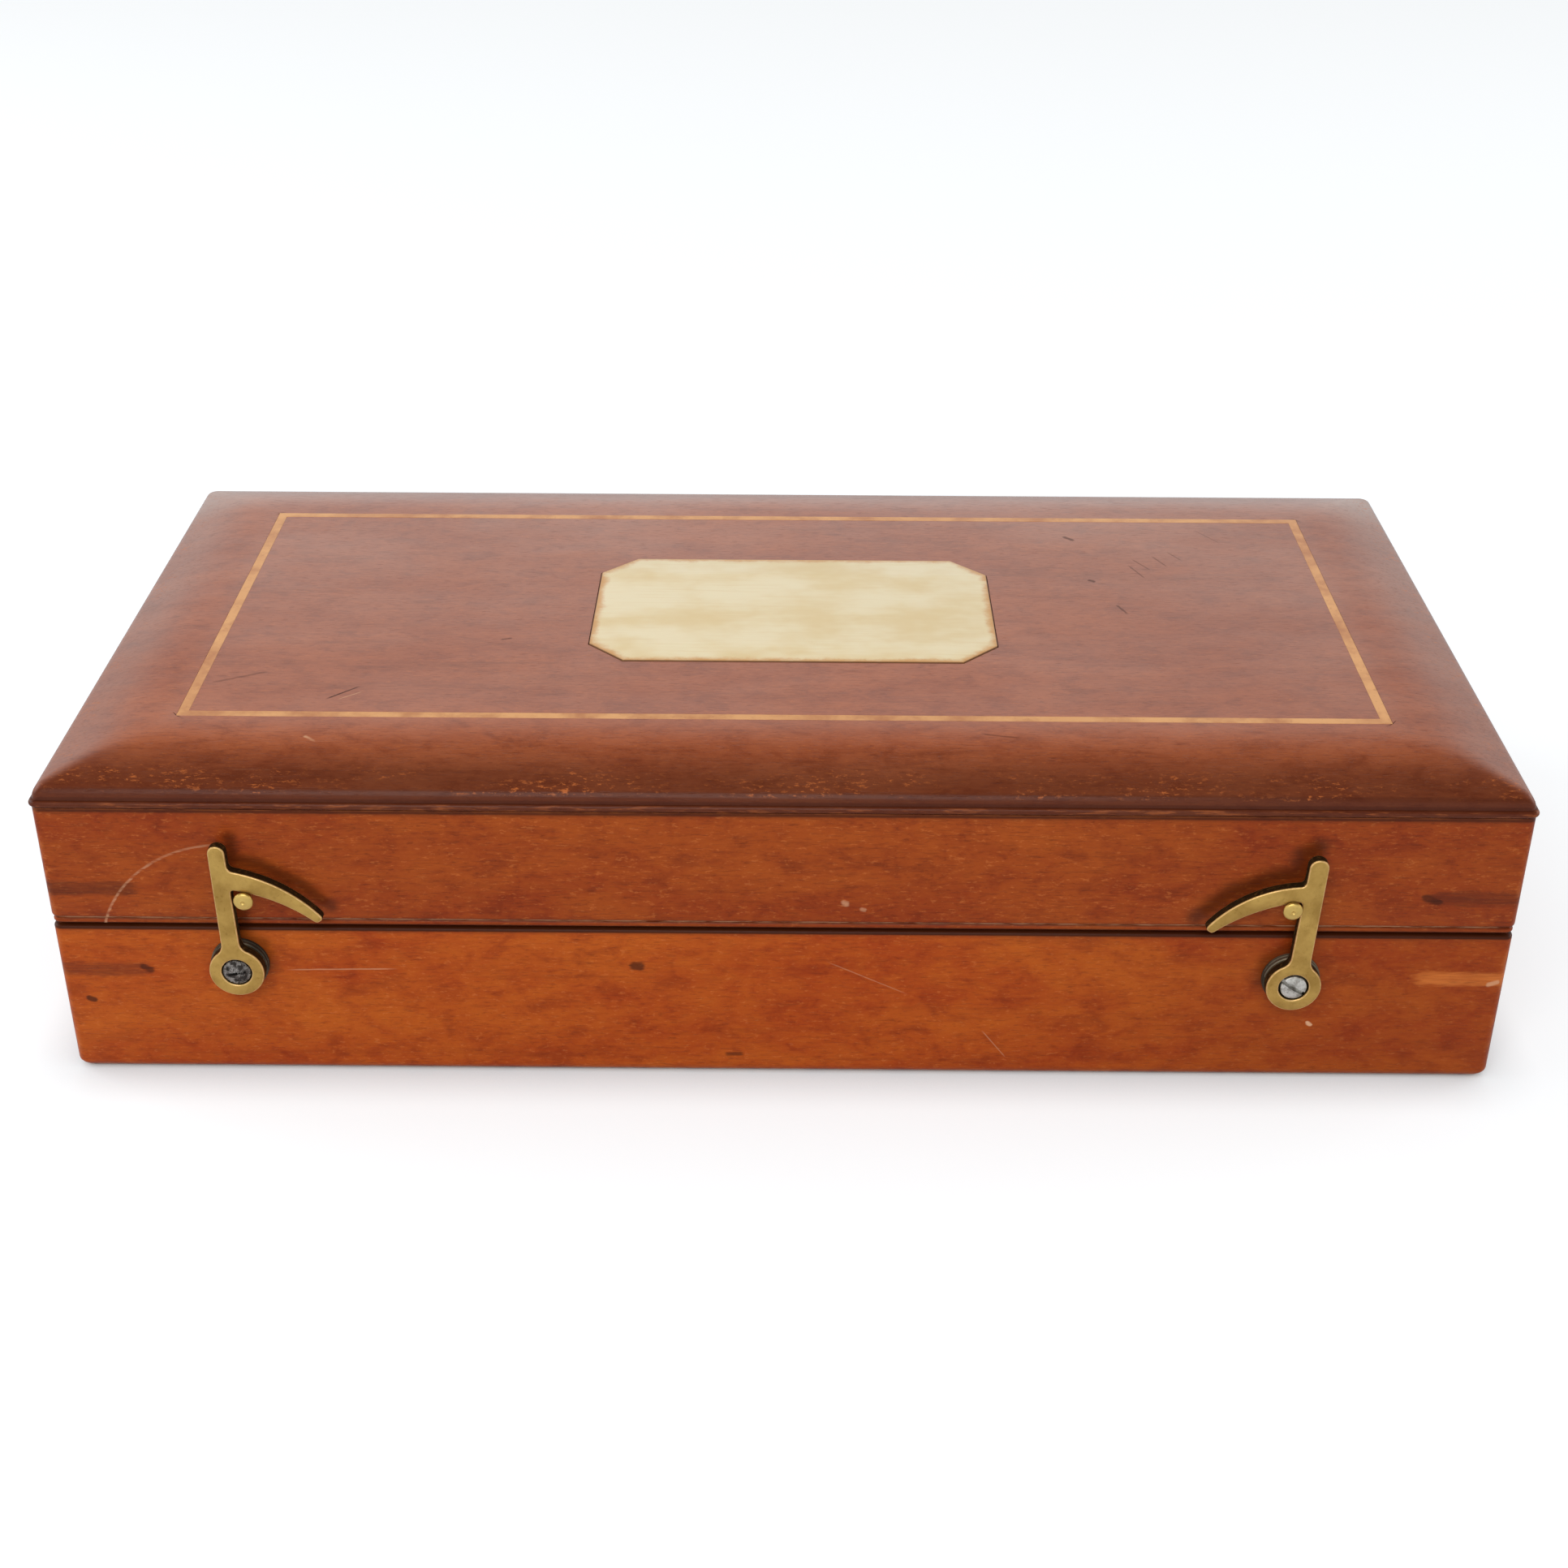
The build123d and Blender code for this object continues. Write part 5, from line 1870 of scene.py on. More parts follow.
@dataclass
class Thermometer:
    """The bone plate with its scale, the glass tube with its column, and two brass straps."""

    tube_radius: float = 1.4
    bulb_radius: float = 2.3
    bulb_length: float = 9.0
    column_radius: float = 0.42
    column_share: float = 0.46
    clip_width: float = 3.0

    def build(self) -> None:
        """Make the plate, the scale's figures, the tube, the column and the straps."""
        low, high = extent("thermometer_plate")
        corner = 1.5
        line = []
        for turn, (sx, sy) in enumerate(((1, -1), (1, 1), (-1, 1), (-1, -1))):
            x = high.x if sx > 0 else low.x
            y = high.y if sy > 0 else low.y
            line += arc((x - sx * corner, y - sy * corner), corner, -90 + 90 * turn, 90 * turn, 6)
        thick = high.z - low.z
        mesh = plate(line, [], thick, 0.2, Matrix.Translation((0, 0, (low.z + high.z) / 2)))
        place(finish_mesh("scale_plate", mesh, SCALE_BONE), Body.CASE, "thermometer_plate")
        y = (low.y + high.y) / 2
        words = []
        for index, number in enumerate(range(30, 130, 10)):
            words.append((str(number), (-46 + index * 11.0, y - 3.5, high.z)))
        Figures(size=1.5, proud=0.012, finish=ENGRAVED).build("scale_figures", words, Body.CASE,
                                                             Matrix.Identity(4))
        self.build_tube(y)
        self.build_clips(y)

    def build_tube(self, y: float) -> None:
        """The glass tube with its blown bulb, and the column inside it."""
        low, high = extent("thermometer_tube")
        z = (low.z + high.z) / 2
        length = high.x - low.x
        r = self.bulb_radius
        profile = [(0, 0), (r * 0.55, 0.22), (r * 0.88, 0.9), (r, 2.0), (r, self.bulb_length - 2.4),
                   (r * 0.86, self.bulb_length - 1.2), (self.tube_radius, self.bulb_length),
                   (self.tube_radius, length - 1.2), (self.tube_radius * 0.75, length - 0.35), (0, length)]
        bm = bmesh.new()
        lathe(bm, profile, aim((low.x, y, z), (1, 0, 0)), 36)
        place(finish_mesh("glass_tube", bm, TUBE_GLASS, 60), Body.CASE, "thermometer_tube")
        c = self.column_radius
        reach = length * self.column_share
        column = [(0, 0.6), (r * 0.5, 0.8), (r * 0.78, 1.7), (r * 0.78, self.bulb_length - 2.6),
                  (c, self.bulb_length - 0.6), (c, reach), (0, reach + 0.3)]
        bm = bmesh.new()
        lathe(bm, column, aim((low.x, y, z), (1, 0, 0)), 28)
        place(finish_mesh("mercury_column", bm, MERCURY, 60), Body.CASE)

    def build_clips(self, y: float) -> None:
        """The two straps bent over the tube, each with a pin in both feet."""
        low, high = extent("thermometer_clips")
        plate_top = extent("thermometer_plate")[1].z
        tube_z = centre("thermometer_tube").z
        inner = self.tube_radius + 0.05
        outer = inner + 0.5
        foot = (high.y - low.y) / 2
        bm = bmesh.new()
        for x in (low.x, high.x - self.clip_width):
            over = [(y + a, z) for a, z in arc((0, tube_z), outer, 0, 180, 14)]
            under = [(y + a, z) for a, z in arc((0, tube_z), inner, 180, 0, 14)]
            section = [(y + foot, plate_top), (y + foot, plate_top + 0.45), (y + outer + 0.25, plate_top + 0.5),
                       (y + outer, plate_top + 0.75), *over, (y - outer, plate_top + 0.75),
                       (y - outer - 0.25, plate_top + 0.5), (y - foot, plate_top + 0.45), (y - foot, plate_top),
                       (y - inner, plate_top), *under, (y + inner, plate_top)]
            loops = [[(x + dx, py, pz) for py, pz in section] for dx in (0.0, self.clip_width)]
            skin(bm, loops, closed=False, caps=True)
            for sign in (-1, 1):
                at = (x + self.clip_width / 2, y + sign * (foot - 0.95), plate_top + 0.4)
                lathe(bm, [(0.5, 0), (0.5, 0.14), (0.3, 0.3), (0, 0.34)], aim(at, (0, 0, 1)), 16)
        place(finish_mesh("tube_straps", bm, CLIP_BRASS), Body.CASE, "thermometer_clips")


@dataclass
class VelvetBlock:
    """The fitted block under its velvet, with a soft-edged seat for each piece."""

    voxel: float = 0.75
    soften: int = 7
    drop: float = 0.3

    def seats(self) -> list[bmesh.types.BMesh]:
        """The solids that are taken out of the block: a seat for each piece and room for the fingers."""
        low, high = extent("fitted_block")
        top = high.z + 3
        hydro_low, hydro_high = extent("hydrometer")
        y = (hydro_low.y + hydro_high.y) / 2
        z = (hydro_low.z + hydro_high.z) / 2
        ball_x = hydro_high.x - 88.0 - 17.5
        stem_root = hydro_low.x + 16.5
        boxes = [((stem_root, y - 3.5, z - 2.9), (hydro_high.x + 0.3, y + 3.5, top)),
                 ((hydro_low.x - 0.3, y - 7.0, z - 6.1), (stem_root + 0.3, y + 7.0, top + 0.1))]
        for number in range(10, 100, 10):
            w_low, w_high = extent(f"weight_{number}")
            boxes.append(((w_low.x - 0.35, w_low.y - 0.35, 7.0), (w_high.x + 0.35, w_high.y + 0.35, top)))
        plate_low, plate_high = extent("thermometer_plate")
        boxes.append(((plate_low.x - 0.6, plate_low.y - 0.6, high.z - 5.0),
                      (plate_high.x + 0.6, plate_high.y + 0.6, top + 0.2)))
        middle = (plate_low.y + plate_high.y) / 2
        rounds = [(18.0, 30.0, aim((ball_x, y, low.z - 1), (0, 0, 1))),
                  (8.0, 14.5, aim((0, middle - 7.25, high.z), (0, 1, 0)))]
        solids = [bmesh.new() for _ in (*boxes, *rounds)]
        for solid, (corner, far_corner) in zip(solids, boxes):
            block(solid, corner, far_corner, 0)
        for solid, (radius, length, frame_of) in zip(solids[len(boxes):], rounds):
            lathe(solid, [(0, 0), (radius, 0), (radius, length), (0, length)], frame_of, 72)
        return solids

    def build(self) -> None:
        """Cut the seats, lay the velvet over them and let it soften every edge."""
        low, high = extent("fitted_block")
        bm = bmesh.new()
        block(bm, low, (high.x, high.y, high.z - 0.05), 1.0, 3)
        for seat in self.seats():
            bm = carve(bm, seat)
        mesh = bpy.data.meshes.new("velvet_block")
        bmesh.ops.scale(bm, vec=(MM, MM, MM), verts=bm.verts)
        bm.to_mesh(mesh)
        bm.free()
        piece = bpy.data.objects.new("velvet_block", mesh)
        bpy.context.scene.collection.objects.link(piece)
        remesh = piece.modifiers.new("cover", "REMESH")
        remesh.mode = "VOXEL"
        remesh.voxel_size = self.voxel * MM
        smooth = piece.modifiers.new("soften", "SMOOTH")
        smooth.factor = 0.5
        smooth.iterations = self.soften
        covered = evaluated_mesh(piece)
        piece.modifiers.clear()
        piece.data = covered
        covered.materials.clear()
        covered.materials.append(BLOCK_VELVET.material())
        covered.shade_smooth()
        place(piece, Body.CASE, "fitted_block")


@dataclass
class LiningPad:
    """The velvet pad in the lid, stuffed and drawn down round its rim, hollow over the ball."""

    voxel: float = 2.0
    shrink: float = 1.0
    pressure: float = 4.0
    frames: int = 20
    cap: float = 1.3

    def start(self) -> bmesh.types.BMesh:
        """The pad before it is stuffed: a slab with a round hollow."""
        low, high = extent("lid_lining_pad")
        bm = bmesh.new()
        edge = self.shrink
        block(bm, (low.x + edge, low.y + edge, low.z + edge), (high.x - edge, high.y - edge, high.z - 0.1), 1.2, 3)
        ball = extent("hydrometer")[1].x - 88.0 - 17.5
        y = centre("hydrometer").y
        cutter = bmesh.new()
        lathe(cutter, [(0, 0), (14.2, 0), (14.2, 9), (0, 9)], aim((ball, y, low.z - 2), (0, 0, 1)), 64)
        return carve(bm, cutter)

    def build(self) -> None:
        """Remesh the slab, blow it up a little as cloth and cap how far each point has moved."""
        bm = self.start()
        bmesh.ops.scale(bm, vec=(MM, MM, MM), verts=bm.verts)
        mesh = bpy.data.meshes.new("lining_pad")
        bm.to_mesh(mesh)
        bm.free()
        piece = bpy.data.objects.new("lining_pad", mesh)
        bpy.context.scene.collection.objects.link(piece)
        remesh = piece.modifiers.new("voxels", "REMESH")
        remesh.mode = "VOXEL"
        remesh.voxel_size = self.voxel * MM
        even = evaluated_mesh(piece)
        piece.modifiers.clear()
        piece.data = even
        self.stuff(piece)
        soften = piece.modifiers.new("soften", "SMOOTH")
        soften.factor = 0.5
        soften.iterations = 3
        finer = piece.modifiers.new("finer", "SUBSURF")
        finer.levels = 1
        finer.render_levels = 1
        final = evaluated_mesh(piece)
        piece.modifiers.clear()
        piece.data = final
        final.materials.clear()
        final.materials.append(PAD_VELVET.material())
        final.shade_smooth()
        place(piece, Body.LID, "lid_lining_pad")

    def stuff(self, piece: bpy.types.Object) -> None:
        """Run the cloth and keep its result, with every point's move capped.

        Args:
            piece: the remeshed pad.
        """
        before = [vert.co.copy() for vert in piece.data.vertices]
        top = max(co.z for co in before)
        held = piece.vertex_groups.new(name="held")
        held.add([i for i, co in enumerate(before) if co.z > top - 1.6 * MM], 1.0, "REPLACE")
        cloth = piece.modifiers.new("cloth", "CLOTH")
        settings = cloth.settings
        settings.quality = 4
        settings.use_pressure = True
        settings.uniform_pressure_force = self.pressure
        settings.vertex_group_mass = "held"
        settings.effector_weights.gravity = 0.0
        cloth.point_cache.frame_start = 1
        cloth.point_cache.frame_end = self.frames
        for step in range(1, self.frames + 1):
            bpy.context.scene.frame_set(step)
        blown = evaluated_mesh(piece)
        piece.modifiers.clear()
        for vert, start in zip(blown.vertices, before):
            move = vert.co - start
            limit = self.cap * MM
            if move.length > limit:
                vert.co = start + move.normalized() * limit
        piece.data = blown
        bpy.context.scene.frame_set(1)


@dataclass
class Studio:
    """The pale floor, the soft lights and the camera of the photograph."""

    focal_pixels: float = 2749.75
    frame_pixels: float = 1932.0
    sensor: float = 36.0
    tilt: Point = (59.931, -0.212, 0.458)
    stand: Point = (1.713, -314.523, 200.389)

    def build(self) -> None:
        """Make the camera, the floor, the lights and the world."""
        self.camera()
        self.floor()
        self.lights()
        self.world()
        bpy.context.scene.view_settings.view_transform = "Standard"

    def camera(self) -> None:
        """The camera, where the photograph was taken from."""
        data = bpy.data.cameras.new("camera")
        data.sensor_width = self.sensor
        data.lens = self.focal_pixels / self.frame_pixels * self.sensor
        data.clip_start = 0.01
        data.clip_end = 50
        view = bpy.data.objects.new("camera", data)
        view.location = Vector(self.stand) * MM
        view.rotation_euler = [math.radians(a) for a in self.tilt]
        bpy.context.scene.collection.objects.link(view)
        bpy.context.scene.camera = view

    def floor(self) -> None:
        """A wide white floor that keeps the object's shadow, with a painted contact shadow in its camera-ray glow.
        """
        bm = bmesh.new()
        bmesh.ops.create_grid(bm, x_segments=1, y_segments=1, size=6000)
        mesh = bpy.data.meshes.new("studio_floor")
        bmesh.ops.scale(bm, vec=(MM, MM, MM), verts=bm.verts)
        bm.to_mesh(mesh)
        bm.free()
        piece = bpy.data.objects.new("studio_floor", mesh)
        bpy.context.scene.collection.objects.link(piece)
        material = bpy.data.materials.new("floor_paper")
        material.use_nodes = True
        tree = material.node_tree
        for node in list(tree.nodes):
            tree.nodes.remove(node)
        out = tree.nodes.new("ShaderNodeOutputMaterial")
        paper = tree.nodes.new("ShaderNodeBsdfDiffuse")
        paper.inputs["Color"].default_value = (0.84, 0.86, 0.88, 1)
        # Painted contact shadow: ambient occlusion darkens the camera-ray glow near the case.
        contact_shade = tree.nodes.new("ShaderNodeAmbientOcclusion")
        contact_shade.samples = 6
        contact_shade.inputs["Distance"].default_value = 9 * MM
        glow = tree.nodes.new("ShaderNodeEmission")
        glow.inputs["Strength"].default_value = 0.52
        thin = tree.nodes.new("ShaderNodeBsdfDiffuse")
        thin.inputs["Color"].default_value = (0.57, 0.60, 0.62, 1)
        both = tree.nodes.new("ShaderNodeAddShader")
        mix = tree.nodes.new("ShaderNodeMixShader")
        rays = tree.nodes.new("ShaderNodeLightPath")
        tree.links.new(contact_shade.outputs["Color"], glow.inputs["Color"])
        tree.links.new(thin.outputs[0], both.inputs[0])
        tree.links.new(glow.outputs[0], both.inputs[1])
        tree.links.new(rays.outputs["Is Camera Ray"], mix.inputs[0])
        tree.links.new(paper.outputs[0], mix.inputs[1])
        tree.links.new(both.outputs[0], mix.inputs[2])
        tree.links.new(mix.outputs[0], out.inputs["Surface"])
        mesh.materials.append(material)

    def lamp(self, name: str, at: Point, towards: Point, size: Flat, power: float) -> None:
        """One soft light.

        Args:
            name: its name.
            at: where it hangs.
            towards: what it looks at.
            size: its width and height.
            power: its power in watts.
        """
        data = bpy.data.lights.new(name, "AREA")
        data.shape = "RECTANGLE"
        data.size = size[0] * MM
        data.size_y = size[1] * MM
        data.energy = power
        lamp = bpy.data.objects.new(name, data)
        lamp.location = Vector(at) * MM
        way = (Vector(towards) - Vector(at)).normalized()
        lamp.rotation_euler = way.to_track_quat("-Z", "Y").to_euler()
        bpy.context.scene.collection.objects.link(lamp)

    def lights(self) -> None:
        """A broad light over the front and a softer one on each side."""
        self.lamp("front_soft", (-150, -900, 900), (0, 0, 20), (900, 700), 7.0)
        self.lamp("left_soft", (-900, 150, 520), (0, 0, 30), (700, 500), 3.0)
        self.lamp("right_soft", (950, 250, 420), (0, 0, 30), (600, 400), 1.8)

    def world(self) -> None:
        """A white surround: bright near the horizon to the eye and to gloss, dim overhead, even as a lamp."""
        world = bpy.data.worlds.new("surround")
        world.use_nodes = True
        tree = world.node_tree
        back = tree.nodes["Background"]
        back.inputs["Color"].default_value = (1, 1, 1, 1)
        rays = tree.nodes.new("ShaderNodeLightPath")
        seen = None
        for name in ("Is Camera Ray", "Is Glossy Ray", "Is Transmission Ray"):
            if seen is None:
                seen = rays.outputs[name]
                continue
            most = tree.nodes.new("ShaderNodeMath")
            most.operation = "MAXIMUM"
            tree.links.new(seen, most.inputs[0])
            tree.links.new(rays.outputs[name], most.inputs[1])
            seen = most.outputs[0]
        place_of = tree.nodes.new("ShaderNodeTexCoord")
        parts = tree.nodes.new("ShaderNodeSeparateXYZ")
        tree.links.new(place_of.outputs["Generated"], parts.inputs[0])
        wall = tree.nodes.new("ShaderNodeMapRange")
        for name, value in (("From Min", 0.36), ("From Max", 0.66), ("To Min", 1.1), ("To Max", 0.1)):
            wall.inputs[name].default_value = value
        tree.links.new(parts.outputs["Z"], wall.inputs["Value"])
        strength = tree.nodes.new("ShaderNodeMix")
        strength.inputs[2].default_value = 0.5
        tree.links.new(seen, strength.inputs[0])
        tree.links.new(wall.outputs["Result"], strength.inputs[3])
        tree.links.new(strength.outputs[0], back.inputs["Strength"])
        bpy.context.scene.world = world


def top_mark(start: Flat, end: Flat, width: float, tone: Tone, strength: float = 0.7) -> Mark:
    """A mark on the lid's top."""
    z = CASE.lid_top
    return Mark((*start, z), (*end, z), width, tone, strength)


def front_mark(start: Flat, end: Flat, width: float, tone: Tone, strength: float = 0.7) -> Mark:
    """A mark on the case's front, given across and up."""
    y = -CASE.half_width
    return Mark((start[0], y, start[1]), (end[0], y, end[1]), width, tone, strength)


def panel_edges(g: Graph, streak: Field) -> tuple[Field, Field, Field]:
    """The lid's panel: bloom and painted sheen on the level field, painted reflection towards the back and the ends,
    rubbed flecks on the moulding, darkening towards its foot and painted shade in its step and under its lip.

    Args:
        g: the material's graph.
        streak: a noise that runs with the grain.

    Returns:
        How much painted sheen, how worn, and how much darkening and painted shade the point has.
    """
    side = CASE.half_length + 0.3 - g.x.size()
    front = CASE.half_width + 0.3 - g.y.size()
    edge = side.least(front)
    ragged = g.noise((7, 4, 4), 31.0, 4.0, 0.7)
    fleck = g.noise((1.1, 0.5, 0.5), 32.0, 4.0, 0.75)
    patch = g.noise((16, 7, 7), 33.0, 3.0, 0.6)
    near = front.least(g.y + CASE.half_width + 0.3)
    forward = (g.y + CASE.half_width + 0.3).rise(17.0, 2.0) * (side - near).rise(-1.5, 1.5)
    soft = edge + (ragged - 0.5) * 3.0
    # The level field: bloom and painted sheen.
    field = soft.rise(8.0, 20.0)
    # Painted reflection, stronger towards the back.
    back_reflection = g.y.rise(-40.0, 60.0) * 0.22 + g.y.rise(35.0, 50.0) * 0.42
    # Painted sheen: the field's, the reflection towards the back, and a painted highlight along the end mouldings.
    sheen_share = field * 0.21 + back_reflection + side.rise(15.0, 4.0) * (1 - forward) * 0.27
    # Darker towards the foot, most at the front, and darkest at the outer edge, where painted shade lies under the
    # lip.
    foot = soft.rise(14.0, 2.0) * 0.66 * (forward * 0.65 + 0.35) + edge.rise(1.5, 0.4) * 0.5
    # Painted shade in the step.
    step = (edge - 0.45).size().rise(0.34, 0.08)
    grime_and_shade = foot.least(0.8).most(step * 0.9)
    band = edge.rise(6.5, 3.0) * edge.rise(0.7, 1.0)
    worn = band * fleck.rise(0.54, 0.66) * patch.rise(0.40, 0.62) * 0.75
    lip = edge.rise(0.35, 0.15) * streak.rise(0.50, 0.66) * 0.3
    return sheen_share, worn.most(lip), grime_and_shade


LEFT_PIVOT = centre("left_hook_screw")
RIGHT_PIVOT = centre("right_hook_screw")

BASE_WOOD = PolishedWood(
    name="base_mahogany", slot="case_mahogany", light=Paint(188, 92, 26), deep=Paint(160, 59, 17),
    # shade is painted shade towards the right end.
    dark=Paint(102, 40, 13), shade=0.32, grain=Grain.ALONG_X, seed=1.0, key_height=CASE.key_height_base,
    key_tones=(Paint(112, 48, 24), Paint(206, 116, 52)),
    # The bottom arris carries a pale painted reflection of the floor over a little rubbing; the top arris carries
    # dirt and painted shade along the seam.
    rims=(Rim(0.35, 0.25, 1.4, 0.55, 0.42, Tone.PALE), Rim(CASE.base_height, 0.95, 1.15, 0.0, 0.2)),
    marks=(
        front_mark((-71.0, 17.8), (-54.4, 18.1), 0.16, Tone.PALE, 0.4),
        front_mark((6.1, 20.0), (18.3, 14.2), 0.14, Tone.PALE, 0.25),
        front_mark((28.8, 8.2), (32.7, 3.1), 0.13, Tone.PALE, 0.3),
        front_mark((-21.0, 18.9), (-20.2, 18.8), 0.95, Tone.DARK, 0.75),
        front_mark((-8.4, 3.5), (-5.4, 3.6), 0.5, Tone.DARK, 0.6),
        front_mark((75.7, 9.9), (76.1, 9.6), 0.42, Tone.PALE, 1.0),
        front_mark((-99.6, 12.6), (-98.9, 12.3), 0.6, Tone.DARK, 0.8),
        front_mark((-91.0, 18.1), (-90.0, 17.6), 0.7, Tone.DARK, 0.7),
        front_mark((100.6, 16.8), (101.8, 17.2), 0.5, Tone.PALE, 0.6),
    ),
    # Painted shadow beside the eye of each hook, on the side towards the middle.
    painted_shadows=(
        PaintedShadow(((RIGHT_PIVOT.x - 4.0, RIGHT_PIVOT.z - 0.5), (RIGHT_PIVOT.x - 3.2, RIGHT_PIVOT.z + 2.8),
              (RIGHT_PIVOT.x - 0.4, RIGHT_PIVOT.z + 4.4)), 2.4, 0.5),
        PaintedShadow(((LEFT_PIVOT.x + 4.0, LEFT_PIVOT.z - 0.5), (LEFT_PIVOT.x + 3.2, LEFT_PIVOT.z + 2.8),
              (LEFT_PIVOT.x + 0.4, LEFT_PIVOT.z + 4.4)), 2.4, 0.5),
    ),
)
BASE_END_WOOD = replace(
    BASE_WOOD, name="base_end_mahogany", grain=Grain.ALONG_Y, seed=5.0, marks=(), painted_shadows=(),
    light=Paint(176, 80, 28), deep=Paint(148, 58, 20), dark=Paint(98, 38, 14))
BASE_KEY_WOOD = replace(BASE_WOOD, name="base_key_wood", slot="key_wood")
LID_WOOD = PolishedWood(
    name="lid_mahogany", slot="case_mahogany", light=Paint(166, 78, 25), deep=Paint(140, 52, 18),
    dark=Paint(88, 33, 12), grain=Grain.ALONG_X, seed=9.0, key_height=CASE.key_height_lid,
    # Dirt and painted shade along the seam; painted shade in the bead's quirk and a pale line on the bead that is
    # partly a painted highlight; dirt and painted shade under the panel's overhang.
    rims=(Rim(CASE.lid_floor, 0.95, 0.8, 0.0, 0.1), Rim(CASE.lid_floor + 1.12, 0.5, 0.7, 0.5, 0.24, Tone.PALE),
          Rim(CASE.panel_floor, 0.8, 1.3, 0.15, 0.25)),
    marks=(
        front_mark((8.6, 29.8), (9.0, 29.7), 0.55, Tone.PALE, 0.5),
        front_mark((11.2, 28.8), (11.5, 28.7), 0.45, Tone.PALE, 0.4),
        front_mark((81.5, 26.5), (88.9, 26.4), 0.26, Tone.PALE, 0.95),
        front_mark((89.6, 31.4), (91.4, 30.8), 0.8, Tone.DARK, 0.7),
    ),
    # Painted shadow along the upper and inner sides of each hook.
    painted_shadows=(
        PaintedShadow(((RIGHT_PIVOT.x - 14.4, RIGHT_PIVOT.z + 10.0), (RIGHT_PIVOT.x - 10.2, RIGHT_PIVOT.z + 14.0),
              (RIGHT_PIVOT.x - 5.0, RIGHT_PIVOT.z + 16.6), (RIGHT_PIVOT.x - 1.2, RIGHT_PIVOT.z + 17.6),
              (RIGHT_PIVOT.x - 0.6, RIGHT_PIVOT.z + 20.6), (RIGHT_PIVOT.x + 1.6, RIGHT_PIVOT.z + 21.6)),
             2.3, 0.66),
        PaintedShadow(((LEFT_PIVOT.x + 13.8, LEFT_PIVOT.z + 9.4), (LEFT_PIVOT.x + 9.6, LEFT_PIVOT.z + 13.4),
              (LEFT_PIVOT.x + 4.6, LEFT_PIVOT.z + 16.4), (LEFT_PIVOT.x + 0.9, LEFT_PIVOT.z + 17.4),
              (LEFT_PIVOT.x + 0.9, LEFT_PIVOT.z + 20.6)), 1.7, 0.6),
        PaintedShadow(((LEFT_PIVOT.x + 1.4, LEFT_PIVOT.z + 13.6), (LEFT_PIVOT.x + 1.2, LEFT_PIVOT.z + 5.0)), 1.5, 0.5),
    ),
    arc=ArcMark(pivot=(LEFT_PIVOT.x, LEFT_PIVOT.z), radius=19.5, reach=(-3.0, 0.0), width=0.26, strength=0.5),
)
LID_END_WOOD = replace(
    LID_WOOD, name="lid_end_mahogany", grain=Grain.ALONG_Y, seed=12.0, marks=(), painted_shadows=(), arc=None,
    light=Paint(168, 78, 30), deep=Paint(140, 58, 22), dark=Paint(92, 36, 14))
LID_KEY_WOOD = replace(LID_WOOD, name="lid_key_wood", slot="key_wood")
PANEL_WOOD = PolishedWood(
    name="polished_panel", slot="panel_mahogany", light=Paint(172, 94, 58), deep=Paint(146, 70, 40),
    dark=Paint(98, 42, 24), grain=Grain.ALONG_X, seed=17.0, rough=0.24, gloss=0.13, figure=0.36,
    worn=Paint(196, 108, 54), haze=Paint(200, 178, 168), grime_and_shade=Paint(66, 26, 12), shaped=panel_edges,
    marks=(
        top_mark((-66.1, -31.1), (-61.6, -26.8), 0.22, Tone.DARK, 0.9),
        top_mark((-64.3, -31.1), (-61.0, -28.5), 0.16, Tone.PALE, 0.5),
        top_mark((55.4, 17.4), (57.6, 12.1), 0.2, Tone.DARK, 0.5),
        top_mark((56.3, 19.7), (58.9, 15.3), 0.2, Tone.DARK, 0.45),
        top_mark((59.7, 21.0), (61.8, 16.6), 0.2, Tone.DARK, 0.45),
        top_mark((62.4, 22.7), (64.5, 19.1), 0.18, Tone.DARK, 0.4),
        top_mark((68.2, 31.7), (71.9, 26.1), 0.18, Tone.DARK, 0.3),
        top_mark((46.3, 28.3), (47.4, 27.2), 0.5, Tone.DARK, 0.65),
        top_mark((48.6, 11.3), (49.2, 10.9), 0.45, Tone.DARK, 0.7),
        top_mark((51.7, 2.4), (53.2, -1.1), 0.28, Tone.DARK, 0.6),
        top_mark((-83.6, -26.1), (-75.7, -22.3), 0.35, Tone.DARK, 0.4),
        top_mark((-43.1, -11.4), (-41.3, -10.8), 0.3, Tone.DARK, 0.6),
        top_mark((52.8, -42.4), (57.8, -45.1), 0.25, Tone.DARK, 0.6),
        top_mark((27.5, -39.9), (33.4, -41.0), 0.3, Tone.DARK, 0.5),
        top_mark((-66.8, -41.8), (-65.4, -42.9), 0.45, Tone.PALE, 0.7),
        Mark((-76.4, -48.8, 48.0), (-70.0, -48.8, 48.0), 0.3, Tone.PALE, 0.6),
    ),
)
BOTTOM_WOOD = PolishedWood(
    name="bottom_mahogany", slot="case_mahogany", light=Paint(150, 92, 60), deep=Paint(128, 74, 46),
    dark=Paint(88, 48, 28), grain=Grain.ALONG_X, seed=21.0, rough=0.6, gloss=0.2)
BOXWOOD = PlainWood(name="string_boxwood", slot="boxwood", light=Paint(226, 164, 100),
                    dark=Paint(186, 116, 62), length=(9.0, 9.0, 0.8), seed=27.0, rough=0.3, gloss=0.5)
PLAQUE_LOW, PLAQUE_HIGH = extent("plaque")
